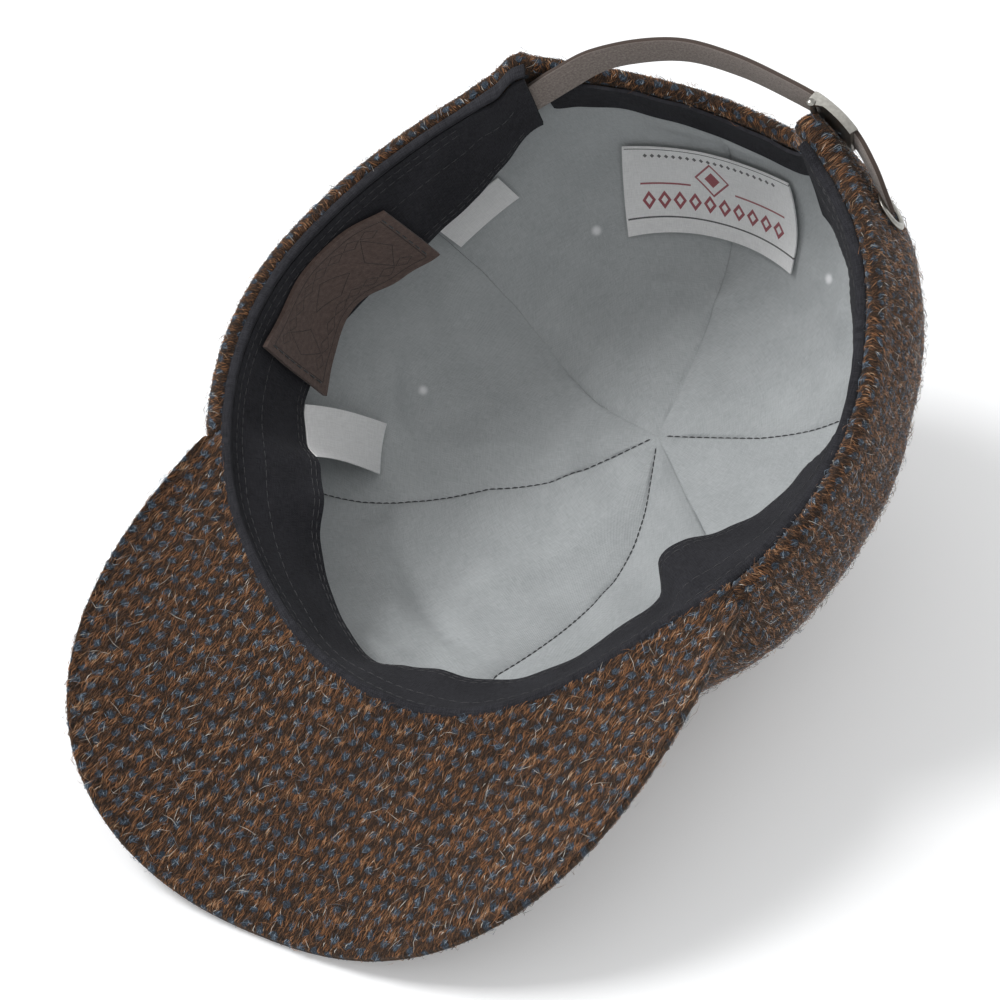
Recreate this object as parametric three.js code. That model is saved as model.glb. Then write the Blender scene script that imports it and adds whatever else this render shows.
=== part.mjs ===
// Tweed six-panel peaked cap with a leather back strap, lying upside down on its crown.
// Millimetres, +Z up. The cap is drawn in its own frame: rim in the plane z = 0, crown below it,
// peak towards -y, back strap towards +y. The whole group is then tipped forward onto crown and peak.

import * as THREE from 'three';
import { mergeVertices } from 'three/addons/utils/BufferGeometryUtils.js';

// Driving dimensions
const crownDepth = 99;          // rim plane to the inside of the crown at the button
const buttonShift = 31;         // how far the slumped crown carries its button towards the back
const tiltDegrees = 30;         // the cap lies tipped forward by this much
const clothGap = 0.3;           // gap kept between neighbouring pieces
const seamGap = 0.36;           // gap between neighbouring panels

const tweedOutside = 1.2;       // crown cloth, outside and inside of its middle surface
const tweedInside = 0.9;
const hemInside = 4.1;          // the turned-in hem makes the rim roll this much thicker inwards
const hemDepth = 9;
const frontDrop = 6;            // the front panels' edges lie under the peak
const liningOutside = 1.9;      // lining cloth, both measured inwards from the crown's middle surface
const liningInside = 3.0;

const bandWidth = 31;           // sweatband, rim to free edge
const bandThickness = 1.2;
const bandTop = 4.9;            // its top edge, measured inwards from the rim line
const bandTopDrop = 2.2;        // its top edge below the rim plane
const pipingRadius = 1;         // rolled piping above the band's top edge
const pipingInset = 5.5;
const pipingDrop = 0.4;

const peakCornerAngle = 58;
const peakCorner = { x: 83, y: -52 };
const peakTip = -179.2;         // the tip's place in front of the cap's middle
const peakSpread = { left: 22, right: 14 };        // how far each side swells out past its corner
const peakSquareness = { across: 0.83, along: 0.85 };
const peakSideRise = 17;        // how far the peak's sides curl up at 80 mm from its middle
const peakRootInset = 3.7;      // the peak's cloths reach in over the crown's front edge by this much
const peakCloth = 1.9;          // each cloth of the peak

const strapWidth = 11.5;
const strapThickness = 1.6;

// Rim: distance of the rim line from the cap's middle, by angle from the front towards +x
const rimRows = [
  { angle: -156, radius: 106.2 }, { angle: -141, radius: 101.0 }, { angle: -126, radius: 96.8 },
  { angle: -109, radius: 95.8 }, { angle: -92, radius: 97.6 }, { angle: -76, radius: 98.6 },
  { angle: -60, radius: 99.4 }, { angle: -44, radius: 101.2 }, { angle: -30, radius: 103.2 },
  { angle: -14, radius: 108.0 }, { angle: 0, radius: 111.4 }, { angle: 12, radius: 111.8 },
  { angle: 22, radius: 108.2 }, { angle: 32, radius: 102.6 }, { angle: 43, radius: 97.4 },
  { angle: 54, radius: 95.4 }, { angle: 70, radius: 95.4 }, { angle: 89, radius: 96.0 },
  { angle: 114, radius: 96.6 }, { angle: 132, radius: 100.2 }, { angle: 156, radius: 104.8 },
  { angle: 180, radius: 107.4 },
];

// Crown: how far each side swells out below the rim, as a share of the rim radius
const swellRows = [
  { angle: -150, swell: 0.04 }, { angle: -90, swell: 0.035 }, { angle: -45, swell: 0.03 },
  { angle: 0, swell: 0.015 }, { angle: 47, swell: 0.035 }, { angle: 57, swell: 0.037 },
  { angle: 70, swell: 0.026 }, { angle: 85, swell: 0.004 }, { angle: 100, swell: 0.014 },
  { angle: 116, swell: 0.049 }, { angle: 133, swell: 0.092 }, { angle: 142, swell: 0.103 },
  { angle: 156, swell: 0.07 }, { angle: 168, swell: 0.045 }, { angle: 180, swell: 0.035 },
];

// Back arch: depth of the cut edge below the rim plane
const archRows = [
  { angle: 156, depth: 0 }, { angle: 158.5, depth: 13 }, { angle: 161.5, depth: 23 },
  { angle: 166, depth: 26 }, { angle: 174, depth: 24.5 }, { angle: 182, depth: 20.5 },
  { angle: 189, depth: 16.5 }, { angle: 196.5, depth: 8.5 }, { angle: 201, depth: 3.5 },
  { angle: 204, depth: 0 },
];

// Sweatband: how far its free edge leans in from its top edge
const bandRows = [
  { angle: -153, lean: 0 }, { angle: -141, lean: 2.5 }, { angle: -125, lean: 7.7 },
  { angle: -100, lean: 7.7 }, { angle: -78, lean: 8.7 }, { angle: -67, lean: 12.7 },
  { angle: -60, lean: 18.5 }, { angle: -51, lean: 19.5 }, { angle: -42, lean: 15.7 },
  { angle: -33, lean: 12.7 }, { angle: -23, lean: 11.2 }, { angle: -13, lean: 11.2 },
  { angle: -6, lean: 16.5 }, { angle: 2, lean: 19.5 }, { angle: 20, lean: 20 },
  { angle: 36, lean: 20 }, { angle: 47, lean: 21.5 }, { angle: 55, lean: 26 },
  { angle: 63, lean: 26.5 }, { angle: 72, lean: 22.5 }, { angle: 84, lean: 19 },
  { angle: 95, lean: 15 }, { angle: 106, lean: 8.3 }, { angle: 118, lean: 6.3 },
  { angle: 132, lean: 5 }, { angle: 146, lean: 1 }, { angle: 153, lean: 0 },
];

const crownSeams = [-180, -120, -peakCornerAngle, 0, peakCornerAngle, 120, 180];
const liningSeams = [-180, -122, -58, 2, 52, 114, 180];
const panelNames = ['back_left', 'side_left', 'front_left', 'front_right', 'side_right', 'back_right'];

const materials = {
  tweed: { color: 0x5a4030, roughness: 0.95, metalness: 0 },
  lining: { color: 0x9aa1a4, roughness: 0.7, metalness: 0 },
  blackCotton: { color: 0x2a2a2e, roughness: 0.85, metalness: 0 },
  strapLeather: { color: 0x70625a, roughness: 0.7, metalness: 0 },
  patchLeather: { color: 0x483730, roughness: 0.55, metalness: 0 },
  nickel: { color: 0x8c8a80, roughness: 0.35, metalness: 1 },
  whiteLabel: { color: 0xe6e6e2, roughness: 0.8, metalness: 0 },
};

// Small tools

const radians = THREE.MathUtils.degToRad;
const degrees = THREE.MathUtils.radToDeg;
const mix = THREE.MathUtils.lerp;
const smooth = THREE.MathUtils.smoothstep;

// A smooth curve through the rows of a table: cubic Hermite with slopes from the neighbours.
// A closed table repeats every 360 degrees.
function throughRows(rows, key, closed) {
  const count = rows.length;
  const row = (i) => {
    if (!closed) return rows[THREE.MathUtils.clamp(i, 0, count - 1)];
    const turn = Math.floor(i / count);
    const source = rows[i - turn * count];
    return { ...source, angle: source.angle + 360 * turn };
  };
  const slope = (i) => {
    const before = row(i - 1);
    const after = row(i + 1);
    return (after[key] - before[key]) / Math.max(after.angle - before.angle, 1e-6);
  };
  return (angle) => {
    let at = angle;
    if (closed) at = rows[0].angle + THREE.MathUtils.euclideanModulo(angle - rows[0].angle, 360);
    at = closed ? at : THREE.MathUtils.clamp(at, rows[0].angle, rows[count - 1].angle);
    let i = 0;
    while (i < count - (closed ? 1 : 2) && row(i + 1).angle <= at) i += 1;
    const a = row(i);
    const b = row(i + 1);
    const span = b.angle - a.angle;
    const s = (at - a.angle) / span;
    return a[key] * (1 + 2 * s) * (1 - s) ** 2 + b[key] * s * s * (3 - 2 * s)
      + span * (slope(i) * s * (1 - s) ** 2 - slope(i + 1) * s * s * (1 - s));
  };
}

const rimRadius = throughRows(rimRows, 'radius', true);
const crownSwell = throughRows(swellRows, 'swell', true);
const archDepth = throughRows(archRows, 'depth', false);
const bandLean = throughRows(bandRows, 'lean', false);

// Direction from the cap's middle at an angle from the front, towards +x
function outward(angle) {
  return new THREE.Vector3(Math.sin(radians(angle)), -Math.cos(radians(angle)), 0);
}

// A closed wall between two grids of points, columns along the first index and rows along the second.
// A closed wall joins its last column to its first one; an open one is capped at both ends.
function wall(columns, rows, outerPoint, innerPoint, closed = false) {
  const positions = [];
  const triangles = [];
  for (let i = 0; i < columns; i += 1) {
    for (let j = 0; j < rows; j += 1) {
      positions.push(...outerPoint(i, j).toArray(), ...innerPoint(i, j).toArray());
    }
  }
  const outer = (i, j) => 2 * ((i % columns) * rows + j);
  const inner = (i, j) => outer(i, j) + 1;
  const quad = (a, b, c, d) => triangles.push(a, b, c, a, c, d);
  const spans = closed ? columns : columns - 1;
  for (let i = 0; i < spans; i += 1) {
    for (let j = 0; j < rows - 1; j += 1) {
      quad(outer(i, j), outer(i, j + 1), outer(i + 1, j + 1), outer(i + 1, j));
      quad(inner(i, j), inner(i + 1, j), inner(i + 1, j + 1), inner(i, j + 1));
    }
    quad(outer(i, 0), outer(i + 1, 0), inner(i + 1, 0), inner(i, 0));
    quad(outer(i, rows - 1), inner(i, rows - 1), inner(i + 1, rows - 1), outer(i + 1, rows - 1));
  }
  if (!closed) {
    const last = columns - 1;
    for (let j = 0; j < rows - 1; j += 1) {
      quad(outer(0, j), inner(0, j), inner(0, j + 1), outer(0, j + 1));
      quad(outer(last, j), outer(last, j + 1), inner(last, j + 1), inner(last, j));
    }
  }
  const geometry = new THREE.BufferGeometry();
  geometry.setAttribute('position', new THREE.Float32BufferAttribute(positions, 3));
  geometry.setIndex(triangles);
  return facingOut(geometry);
}

function fan(sides) {
  return Array.from({ length: sides - 2 }, (_, k) => [0, k + 1, k + 2]);
}

// A closed tube of flat facets through rings of points, each end closed by its cap's triangles
function tube(rings, sides, at, cap = fan(sides)) {
  const positions = [];
  const triangles = [];
  for (let i = 0; i < rings; i += 1) {
    for (let k = 0; k < sides; k += 1) positions.push(...at(i, k).toArray());
  }
  for (let i = 0; i < rings - 1; i += 1) {
    for (let k = 0; k < sides; k += 1) {
      const a = i * sides + k;
      const b = i * sides + ((k + 1) % sides);
      triangles.push(a, b, b + sides, a, b + sides, a + sides);
    }
  }
  const last = (rings - 1) * sides;
  for (const [a, b, c] of cap) triangles.push(a, c, b, last + a, last + b, last + c);
  const geometry = new THREE.BufferGeometry();
  geometry.setAttribute('position', new THREE.Float32BufferAttribute(positions, 3));
  geometry.setIndex(triangles);
  return facingOut(geometry);
}

// Merges the vertices that a geometry keeps apart for its normals and texture
function welded(geometry) {
  geometry.deleteAttribute('normal');
  geometry.deleteAttribute('uv');
  return mergeVertices(geometry, 1e-4);
}

// Turns every triangle round if the closed mesh encloses a negative volume
function facingOut(geometry) {
  const p = geometry.getAttribute('position');
  const index = geometry.getIndex().array;
  const [a, b, c] = [new THREE.Vector3(), new THREE.Vector3(), new THREE.Vector3()];
  let volume = 0;
  for (let i = 0; i < index.length; i += 3) {
    a.fromBufferAttribute(p, index[i]);
    b.fromBufferAttribute(p, index[i + 1]);
    c.fromBufferAttribute(p, index[i + 2]);
    volume += a.dot(b.cross(c));
  }
  if (volume < 0) {
    for (let i = 0; i < index.length; i += 3) {
      [index[i + 1], index[i + 2]] = [index[i + 2], index[i + 1]];
    }
  }
  geometry.computeVertexNormals();
  return geometry;
}

// Crown surface

const floorNormal = new THREE.Vector3(0, Math.sin(radians(tiltDegrees)), Math.cos(radians(tiltDegrees)));

// Middle surface of the crown cloth. A share of 0 is the rim and 1 the button. In section it is a
// superellipse, fuller at the sides and back than in front, swollen below the rim.
function crownPoint(angle, share) {
  const turn = radians(90 * share);
  const front = Math.max(Math.cos(radians(angle)), 0);
  const power = 2.9 - 0.55 * front * front;
  const reach = (Math.cos(turn) ** power + Math.sin(turn) ** power) ** (-1 / power);
  const sunk = reach * Math.sin(turn);
  const swell = 1 + crownSwell(angle) * Math.sin(Math.PI * Math.min(sunk / 0.8, 1));
  const point = outward(angle).multiplyScalar(rimRadius(angle) * reach * Math.cos(turn) * swell);
  point.y += buttonShift * sunk * sunk;
  point.z = -crownDepth * sunk;
  return point;
}

function crownNormal(angle, share) {
  const s = THREE.MathUtils.clamp(share, 0.01, 0.985);
  const along = crownPoint(angle + 0.5, s).sub(crownPoint(angle - 0.5, s));
  const down = crownPoint(angle, s + 0.01).sub(crownPoint(angle, s - 0.01));
  return down.cross(along).normalize();
}

// A point inset into the crown from its middle surface (negative insets stand outside it).
// Cloth that would reach below the floor lies flat on it, each layer on the one under it.
let floorLevel = -Infinity;
function crownLayer(angle, share, inset) {
  const point = crownPoint(angle, share).addScaledVector(crownNormal(angle, share), -inset);
  const layerLevel = floorLevel + inset + tweedOutside;
  const below = layerLevel - point.dot(floorNormal);
  if (below > 0) point.addScaledVector(floorNormal, below);
  return point;
}

// Share of the way from rim to button at a depth below the rim plane, near the rim
function shareAtDepth(depth) {
  return degrees(Math.atan(depth / crownDepth)) / 90;
}

// Angles of a panel's columns between two seams, with extra ones where the arch starts
function panelAngles(from, to, step) {
  const stops = [from, -156, -161, -166, 156, 158.5, 161.5, 166, to].filter((a) => a >= from && a <= to);
  stops.sort((a, b) => a - b);
  const angles = [from];
  for (let i = 1; i < stops.length; i += 1) {
    const span = stops[i] - stops[i - 1];
    const parts = Math.max(1, Math.round(span / step));
    for (let k = 1; k <= parts && span > 0; k += 1) angles.push(stops[i - 1] + (span * k) / parts);
  }
  return angles;
}

// A column's angle, drawn in from the seams so that neighbouring panels keep their gap
function gappedAngle(angle, from, to, share) {
  const point = crownPoint(angle, share);
  const radius = Math.max(Math.hypot(point.x, point.y - buttonShift * (point.z / crownDepth) ** 2), 1);
  const inset = degrees(seamGap / 2 / radius);
  return THREE.MathUtils.clamp(angle, from + inset, to - inset);
}

function archShare(angle) {
  const turned = THREE.MathUtils.euclideanModulo(angle, 360);
  if (turned <= 156 || turned >= 204) return 0;
  return shareAtDepth(Math.max(archDepth(turned), 0));
}

// Share at which a crown panel's cloth starts: the front panels start under the peak
function panelTop(angle, underPeak) {
  return underPeak ? shareAtDepth(frontDrop) : archShare(angle);
}

function liningTop(angle) {
  const besidePeak = 1 - smooth(Math.abs(angle), peakCornerAngle, peakCornerAngle + 6);
  return Math.max(archShare(angle), shareAtDepth(frontDrop) * besidePeak);
}

// Rows of a crown panel from its rolled rim down: outside and inside of the cloth, rise above the row
const crownRows = [
  { share: 0, outside: -0.1, inside: 2.9, rise: 1.2 },
  { share: 0, outside: tweedOutside, inside: hemInside, rise: -0.8 },
  { share: shareAtDepth(hemDepth - 3), outside: tweedOutside, inside: hemInside, rise: 0 },
  { share: shareAtDepth(hemDepth), outside: tweedOutside, inside: tweedInside, rise: 0 },
];
for (const share of [0.13, 0.2, 0.27, 0.35, 0.43, 0.51, 0.59, 0.67, 0.75, 0.83, 0.9, 0.955]) {
  crownRows.push({ share, outside: tweedOutside, inside: tweedInside, rise: 0 });
}

function crownPanel(from, to) {
  const angles = panelAngles(from, to, 8);
  const underPeak = Math.max(Math.abs(from), Math.abs(to)) <= peakCornerAngle;
  const at = (i, j, side) => {
    const row = crownRows[j];
    const top = panelTop(angles[i], underPeak);
    const share = top + (1 - top) * row.share;
    const angle = gappedAngle(angles[i], from, to, share);
    const inset = side === 'outside' ? -row.outside : row.inside;
    const point = crownLayer(angle, share, inset);
    point.z += row.rise;
    return point;
  };
  return wall(angles.length, crownRows.length, (i, j) => at(i, j, 'outside'), (i, j) => at(i, j, 'inside'));
}

function liningPanel(from, to) {
  const angles = panelAngles(from, to, 10);
  const shares = [0.085, 0.15, 0.24, 0.33, 0.42, 0.51, 0.6, 0.69, 0.78, 0.87, 0.94, 0.985];
  const at = (i, j, inset) => {
    const top = liningTop(angles[i]);
    const share = top + (1 - top) * shares[j];
    return crownLayer(gappedAngle(angles[i], from, to, share), share, inset);
  };
  return wall(angles.length, shares.length, (i, j) => at(i, j, liningOutside), (i, j) => at(i, j, liningInside));
}

// Covered button: a low dome outside the crown, its plain shank through the panels' small opening
function crownButton() {
  const head = 8;
  const shank = 2.6;
  const profile = [
    [0, -5.2], [4, -4.9], [6.6, -3.8], [head, -2.2], [head, -1.2], [head - 1, -0.5],
    [shank, -0.5], [shank, 2.2], [0, 2.2],
  ].map(([radius, height]) => new THREE.Vector2(radius, height));
  const geometry = new THREE.LatheGeometry(profile, 16);
  geometry.rotateX(Math.PI / 2);
  geometry.translate(0, buttonShift, -crownDepth - tweedOutside);
  return facingOut(welded(geometry));
}

// Sweatband and arch binding

// The band's section runs from its top edge down and in to its free edge. At its left end it stands
// clear of the strap that is sewn in behind it.
function bandPoint(angle, share, outside) {
  const lean = bandLean(angle);
  const drop = Math.sqrt(bandWidth ** 2 - lean ** 2);
  const strapRoom = (strapThickness + 3 * clothGap) * smooth(-angle, 140, 146);
  const inset = bandTop + strapRoom + (outside ? 0 : bandThickness) + lean * share ** 1.15;
  const point = outward(angle).multiplyScalar(rimRadius(angle) - inset);
  point.z = -bandTopDrop - drop * share;
  return point;
}

function sweatband() {
  const from = -153;
  const to = 153;
  const columns = 62;
  const shares = [0, 0.3, 0.65, 1];
  const angle = (i) => mix(from, to, i / (columns - 1));
  return wall(columns, shares.length, (i, j) => bandPoint(angle(i), shares[j], true),
    (i, j) => bandPoint(angle(i), shares[j], false));
}

function bandPiping() {
  const sides = 6;
  const from = -139;
  const to = 153;
  const columns = 62;
  const angle = (i) => mix(from, to, i / (columns - 1));
  const at = (i, side) => {
    const turn = (2 * Math.PI * side) / sides;
    const radius = rimRadius(angle(i)) - pipingInset + pipingRadius * Math.cos(turn);
    const point = outward(angle(i)).multiplyScalar(radius);
    point.z = -pipingDrop + pipingRadius * Math.sin(turn);
    return point;
  };
  return tube(columns, sides, at);
}

function archBinding() {
  const tapeWidth = 14;
  const from = 158.5;
  const to = 198;
  const columns = 16;
  const angle = (i) => mix(from, to, i / (columns - 1));
  const at = (i, j, inset) => {
    const top = archShare(angle(i)) + shareAtDepth(1);
    return crownLayer(angle(i), top + shareAtDepth(tapeWidth) * (j / 3), inset);
  };
  return wall(columns, 4, (i, j) => at(i, j, hemInside + 0.6), (i, j) => at(i, j, hemInside + 1.7));
}

// Peak

// Half-turn parameter: -1 is the left corner, 0 the tip and 1 the right corner
function peakEdge(turn) {
  const sine = Math.sin(radians(90 * turn));
  const cosine = Math.max(Math.cos(radians(90 * turn)), 0);
  const spread = turn < 0 ? peakSpread.left : peakSpread.right;
  const x = (peakCorner.x + spread * cosine) * Math.sign(sine) * Math.abs(sine) ** peakSquareness.across;
  const y = peakCorner.y + (peakTip - peakCorner.y) * cosine ** peakSquareness.along;
  return new THREE.Vector3(x, y, peakSideRise * (x / 80) ** 2 * Math.sqrt(cosine));
}

function peakRoot(turn) {
  const angle = peakCornerAngle * turn;
  return outward(angle).multiplyScalar(rimRadius(angle) - peakRootInset);
}

// Surface of the peak from its root on the rim (0) to its edge (1), lowered by a depth
function peakPoint(turn, share, depth) {
  const root = peakRoot(turn);
  const edge = peakEdge(turn);
  const point = root.lerp(edge, share);
  point.z -= depth + 1.2 * Math.sin(Math.PI * share);
  return point;
}

function peakCloths(top, bottom) {
  const columns = 33;
  const shares = [0, 0.2, 0.4, 0.6, 0.8, 0.94, 1];
  const turn = (i) => Math.sin(radians(mix(-90, 90, i / (columns - 1)))) * 0.985;
  const draw = (j) => (j === shares.length - 1 ? 0.6 : 0);
  return wall(columns, shares.length, (i, j) => peakPoint(turn(i), shares[j], top + draw(j)),
    (i, j) => peakPoint(turn(i), shares[j], bottom - draw(j)));
}

// Strap, buckle and grommet

// Middle of the strap from its sewn end inside the left of the arch to its tail in the grommet
const strapRows = [
  { angle: -147, radius: 96.8, height: -9 }, { angle: -153, radius: 99.3, height: -6 },
  { angle: -159, radius: 101.0, height: -1 }, { angle: -164, radius: 104.2, height: 1.5 },
  { angle: -170, radius: 108.0, height: 1.5 }, { angle: -178, radius: 111.2, height: 1.5 },
  { angle: -187, radius: 111.4, height: 1.5 }, { angle: -196, radius: 111.2, height: 2 },
  { angle: -205, radius: 112.2, height: 2.6 }, { angle: -211, radius: 112.6, height: 1.6 },
  { angle: -216, radius: 112.2, height: -2 }, { angle: -219, radius: 112.2, height: -7 },
  { angle: -220.5, radius: 112.4, height: -12 },
];
const clipStart = 0.735;        // shares of the strap's length under the clip
const clipEnd = 0.845;
const taperStart = 0.87;
const tailWidth = 6;

const strapCurve = new THREE.CatmullRomCurve3(strapRows.map((row) => {
  const point = outward(row.angle).multiplyScalar(row.radius);
  point.z = row.height;
  return point;
}), false, 'centripetal');

// Directions along the strap, out of the cap and across the strap's width
function strapFrame(share) {
  const place = strapCurve.getPointAt(share);
  const along = strapCurve.getTangentAt(share);
  const radial = new THREE.Vector3(place.x, place.y, 0).normalize();
  const across = radial.clone().cross(along).normalize();
  if (across.z < 0) across.negate();
  const out = along.clone().cross(across).normalize();
  if (out.dot(radial) < 0) out.negate();
  return { place, along, out, across };
}

function onStrap(share, out, across) {
  const frame = strapFrame(share);
  return frame.place.addScaledVector(frame.out, out).addScaledVector(frame.across, across);
}

function strap() {
  const rings = 44;
  const half = strapThickness / 2;
  const at = (i, corner) => {
    const share = i / (rings - 1);
    const width = mix(strapWidth, tailWidth, smooth(share, taperStart, 1));
    const [out, across] = [[half, 1], [half, -1], [-half, -1], [-half, 1]][corner];
    return onStrap(share, out, (across * width) / 2);
  };
  return tube(rings, 4, at);
}

// Clip: a thin plate between strap and crown, with a flange along each edge of the strap. At the
// end next to the arch the flanges are deep and hold the pin.
const clip = { gap: 0.35, metal: 0.8, flangeOut: 0.5, pinFlangeIn: 4.5, pinOut: -3.4, pinRadius: 1 };
const flangeHalf = strapWidth / 2 + clip.gap;

// The clip's section, like an H on its side, with flanges reaching in to a distance
function clipSection(reach) {
  const far = flangeHalf + clip.metal;
  const plateOut = -strapThickness / 2 - clip.gap;
  const plateIn = plateOut - clip.metal;
  return [
    [-far, -reach], [-flangeHalf, -reach], [-flangeHalf, plateIn], [flangeHalf, plateIn],
    [flangeHalf, -reach], [far, -reach], [far, clip.flangeOut], [flangeHalf, clip.flangeOut],
    [flangeHalf, plateOut], [-flangeHalf, plateOut], [-flangeHalf, clip.flangeOut], [-far, clip.flangeOut],
  ].map(([across, out]) => new THREE.Vector2(across, out));
}

function buckleClip() {
  const shares = [0, 0.08, 0.16, 0.22, 0.29, 0.36, 0.42, 0.6, 0.8, 1];
  const sections = shares.map((share) => clipSection(mix(clip.pinFlangeIn, 2.2, smooth(share, 0.16, 0.42))));
  const at = (i, k) => {
    const corner = sections[i][k];
    return onStrap(mix(clipStart, clipEnd, shares[i]), corner.y, corner.x);
  };
  const cap = THREE.ShapeUtils.triangulateShape(sections[0], []);
  return tube(shares.length, sections[0].length, at, cap);
}

function bucklePin() {
  const sides = 10;
  const share = mix(clipStart, clipEnd, 0.1);
  const length = [-flangeHalf + clip.gap, flangeHalf - clip.gap];
  const frame = strapFrame(share);
  const at = (i, k) => {
    const turn = (2 * Math.PI * k) / sides;
    return frame.place.clone()
      .addScaledVector(frame.across, length[i])
      .addScaledVector(frame.out, clip.pinOut + clip.pinRadius * Math.cos(turn))
      .addScaledVector(frame.along, clip.pinRadius * Math.sin(turn));
  };
  return tube(2, sides, at);
}

// Grommet: a domed ring on the crown, turned to face the way the crown's surface faces
function grommet() {
  const angle = 139.5;
  const share = shareAtDepth(14.5);
  const stand = tweedOutside + clothGap;
  const profile = [
    [3.8, 0], [5.8, 0], [6.2, 0.5], [6, 1.2], [5.2, 1.7], [4.4, 1.6], [3.8, 1], [3.8, 0],
  ].map(([radius, height]) => new THREE.Vector2(radius, height));
  const geometry = new THREE.LatheGeometry(profile, 20);
  const normal = crownNormal(angle, share);
  const turn = new THREE.Quaternion().setFromUnitVectors(new THREE.Vector3(0, 1, 0), normal);
  geometry.applyQuaternion(turn);
  geometry.translate(...crownPoint(angle, share).addScaledVector(normal, stand + 0.4).toArray());
  return facingOut(welded(geometry));
}

// Labels and patch

// A cloth label lying on the lining between four corners, given as angle and share of the way down
function liningLabel(corners, thickness, columns, rows) {
  const inset = liningInside + clothGap + 0.8;
  const at = (i, j, depth) => {
    const u = i / (columns - 1);
    const v = j / (rows - 1);
    const angle = mix(mix(corners[0].angle, corners[1].angle, u), mix(corners[3].angle, corners[2].angle, u), v);
    const share = mix(mix(corners[0].share, corners[1].share, u), mix(corners[3].share, corners[2].share, u), v);
    return crownLayer(angle, share, depth);
  };
  return wall(columns, rows, (i, j) => at(i, j, inset), (i, j) => at(i, j, inset + thickness));
}

function wovenLabel() {
  return liningLabel([
    { angle: -160.5, share: 0.305 }, { angle: -193, share: 0.325 },
    { angle: -200, share: 0.55 }, { angle: -153.5, share: 0.545 },
  ], 0.6, 9, 6);
}

function sizeLabel() {
  return liningLabel([
    { angle: -137.5, share: 0.265 }, { angle: -138, share: 0.345 },
    { angle: -122.5, share: 0.365 }, { angle: -122.4, share: 0.295 },
  ], 0.4, 5, 4);
}

// A small label sewn under the band's free edge, hanging from there down to the lining
function loopLabel() {
  const near = { from: -77, to: -62.5 };
  const far = { from: -75.2, to: -61.7, share: 0.475 };
  const at = (i, j, layer) => {
    const hang = j / 4;
    const edge = bandPoint(mix(near.from, near.to, i / 4), 1, false);
    edge.z -= clothGap + 0.3;
    const angle = mix(far.from, far.to, i / 4);
    const rest = crownLayer(angle, far.share, liningInside + clothGap + 0.8);
    const point = edge.lerp(rest, hang);
    point.addScaledVector(outward(angle), -layer);
    point.z += 2.5 * Math.sin(Math.PI * hang);
    return point;
  };
  return wall(5, 5, (i, j) => at(i, j, 0), (i, j) => at(i, j, 0.5));
}

// Leather patch on the sweatband: flush with it in the middle, its short ends standing off a little
const patchRows = [
  { angle: 0, top: 0.12, topAngle: -79.8, free: 1.12, freeAngle: -80.6, lift: 1.6 },
  { angle: 0.25, top: 0.07, topAngle: -87.5, free: 0.97, freeAngle: -90.5, lift: 0.5 },
  { angle: 0.5, top: 0.08, topAngle: -96.5, free: 0.9, freeAngle: -101.5, lift: 0.35 },
  { angle: 0.75, top: 0.16, topAngle: -107, free: 0.95, freeAngle: -112, lift: 0.7 },
  { angle: 1, top: 0.26, topAngle: -117.8, free: 1.08, freeAngle: -123, lift: 1.9 },
];
const patchAt = Object.fromEntries(['top', 'topAngle', 'free', 'freeAngle', 'lift']
  .map((key) => [key, throughRows(patchRows, key, false)]));

function leatherPatch() {
  const thickness = 1.4;
  const at = (i, j, depth) => {
    const along = i / 12;
    const across = j / 4;
    const angle = mix(patchAt.topAngle(along), patchAt.freeAngle(along), across);
    const point = bandPoint(angle, mix(patchAt.top(along), patchAt.free(along), across), false);
    return point.addScaledVector(outward(angle), -(clothGap + depth + patchAt.lift(along)));
  };
  return wall(13, 5, (i, j) => at(i, j, 0), (i, j) => at(i, j, thickness));
}

// Assembly

const cap = new THREE.Group();
cap.name = 'cap';
function add(name, geometry, finish) {
  const mesh = new THREE.Mesh(geometry, new THREE.MeshStandardMaterial(materials[finish]));
  mesh.name = name;
  cap.add(mesh);
  return mesh;
}

const peakUnder = add('peak_under', peakCloths(0, peakCloth), 'tweed');
const peakUpper = add('peak_upper', peakCloths(peakCloth + clothGap, 2 * peakCloth + clothGap), 'tweed');
floorLevel = Math.min(...lowest(peakUpper.geometry));
function lowest(geometry) {
  const p = geometry.getAttribute('position');
  const levels = [];
  for (let i = 0; i < p.count; i += 1) {
    levels.push(new THREE.Vector3().fromBufferAttribute(p, i).dot(floorNormal));
  }
  return levels;
}

panelNames.forEach((name, i) => {
  add(`crown_panel_${name}`, crownPanel(crownSeams[i], crownSeams[i + 1]), 'tweed');
  add(`lining_panel_${name}`, liningPanel(liningSeams[i], liningSeams[i + 1]), 'lining');
});
add('crown_button', crownButton(), 'tweed');
add('sweatband', sweatband(), 'blackCotton');
add('band_piping', bandPiping(), 'blackCotton');
add('arch_binding', archBinding(), 'blackCotton');
add('strap', strap(), 'strapLeather');
add('buckle_clip', buckleClip(), 'nickel');
add('buckle_pin', bucklePin(), 'nickel');
add('grommet', grommet(), 'nickel');
add('leather_patch', leatherPatch(), 'patchLeather');
add('woven_label', wovenLabel(), 'whiteLabel');
add('size_label', sizeLabel(), 'whiteLabel');
add('loop_label', loopLabel(), 'whiteLabel');

cap.rotation.x = radians(tiltDegrees);
const part = new THREE.Group();
part.add(cap);
part.updateMatrixWorld(true);
const box = new THREE.Box3().setFromObject(part, true);
cap.position.set(-(box.min.x + box.max.x) / 2, -(box.min.y + box.max.y) / 2, -box.min.z);
part.updateMatrixWorld(true);

export default part;
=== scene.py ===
# Six-panel tweed cap with a leather back strap, lying upside down on its crown.
# Shapes are worked out in the cap's own frame, in mm: the rim lies in z = 0, the crown hangs
# below it, the peak points to -y and +x is the wearer's right. toRow() tips them into place.
import math

import bpy
import numpy as np
from mathutils import Matrix


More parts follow.
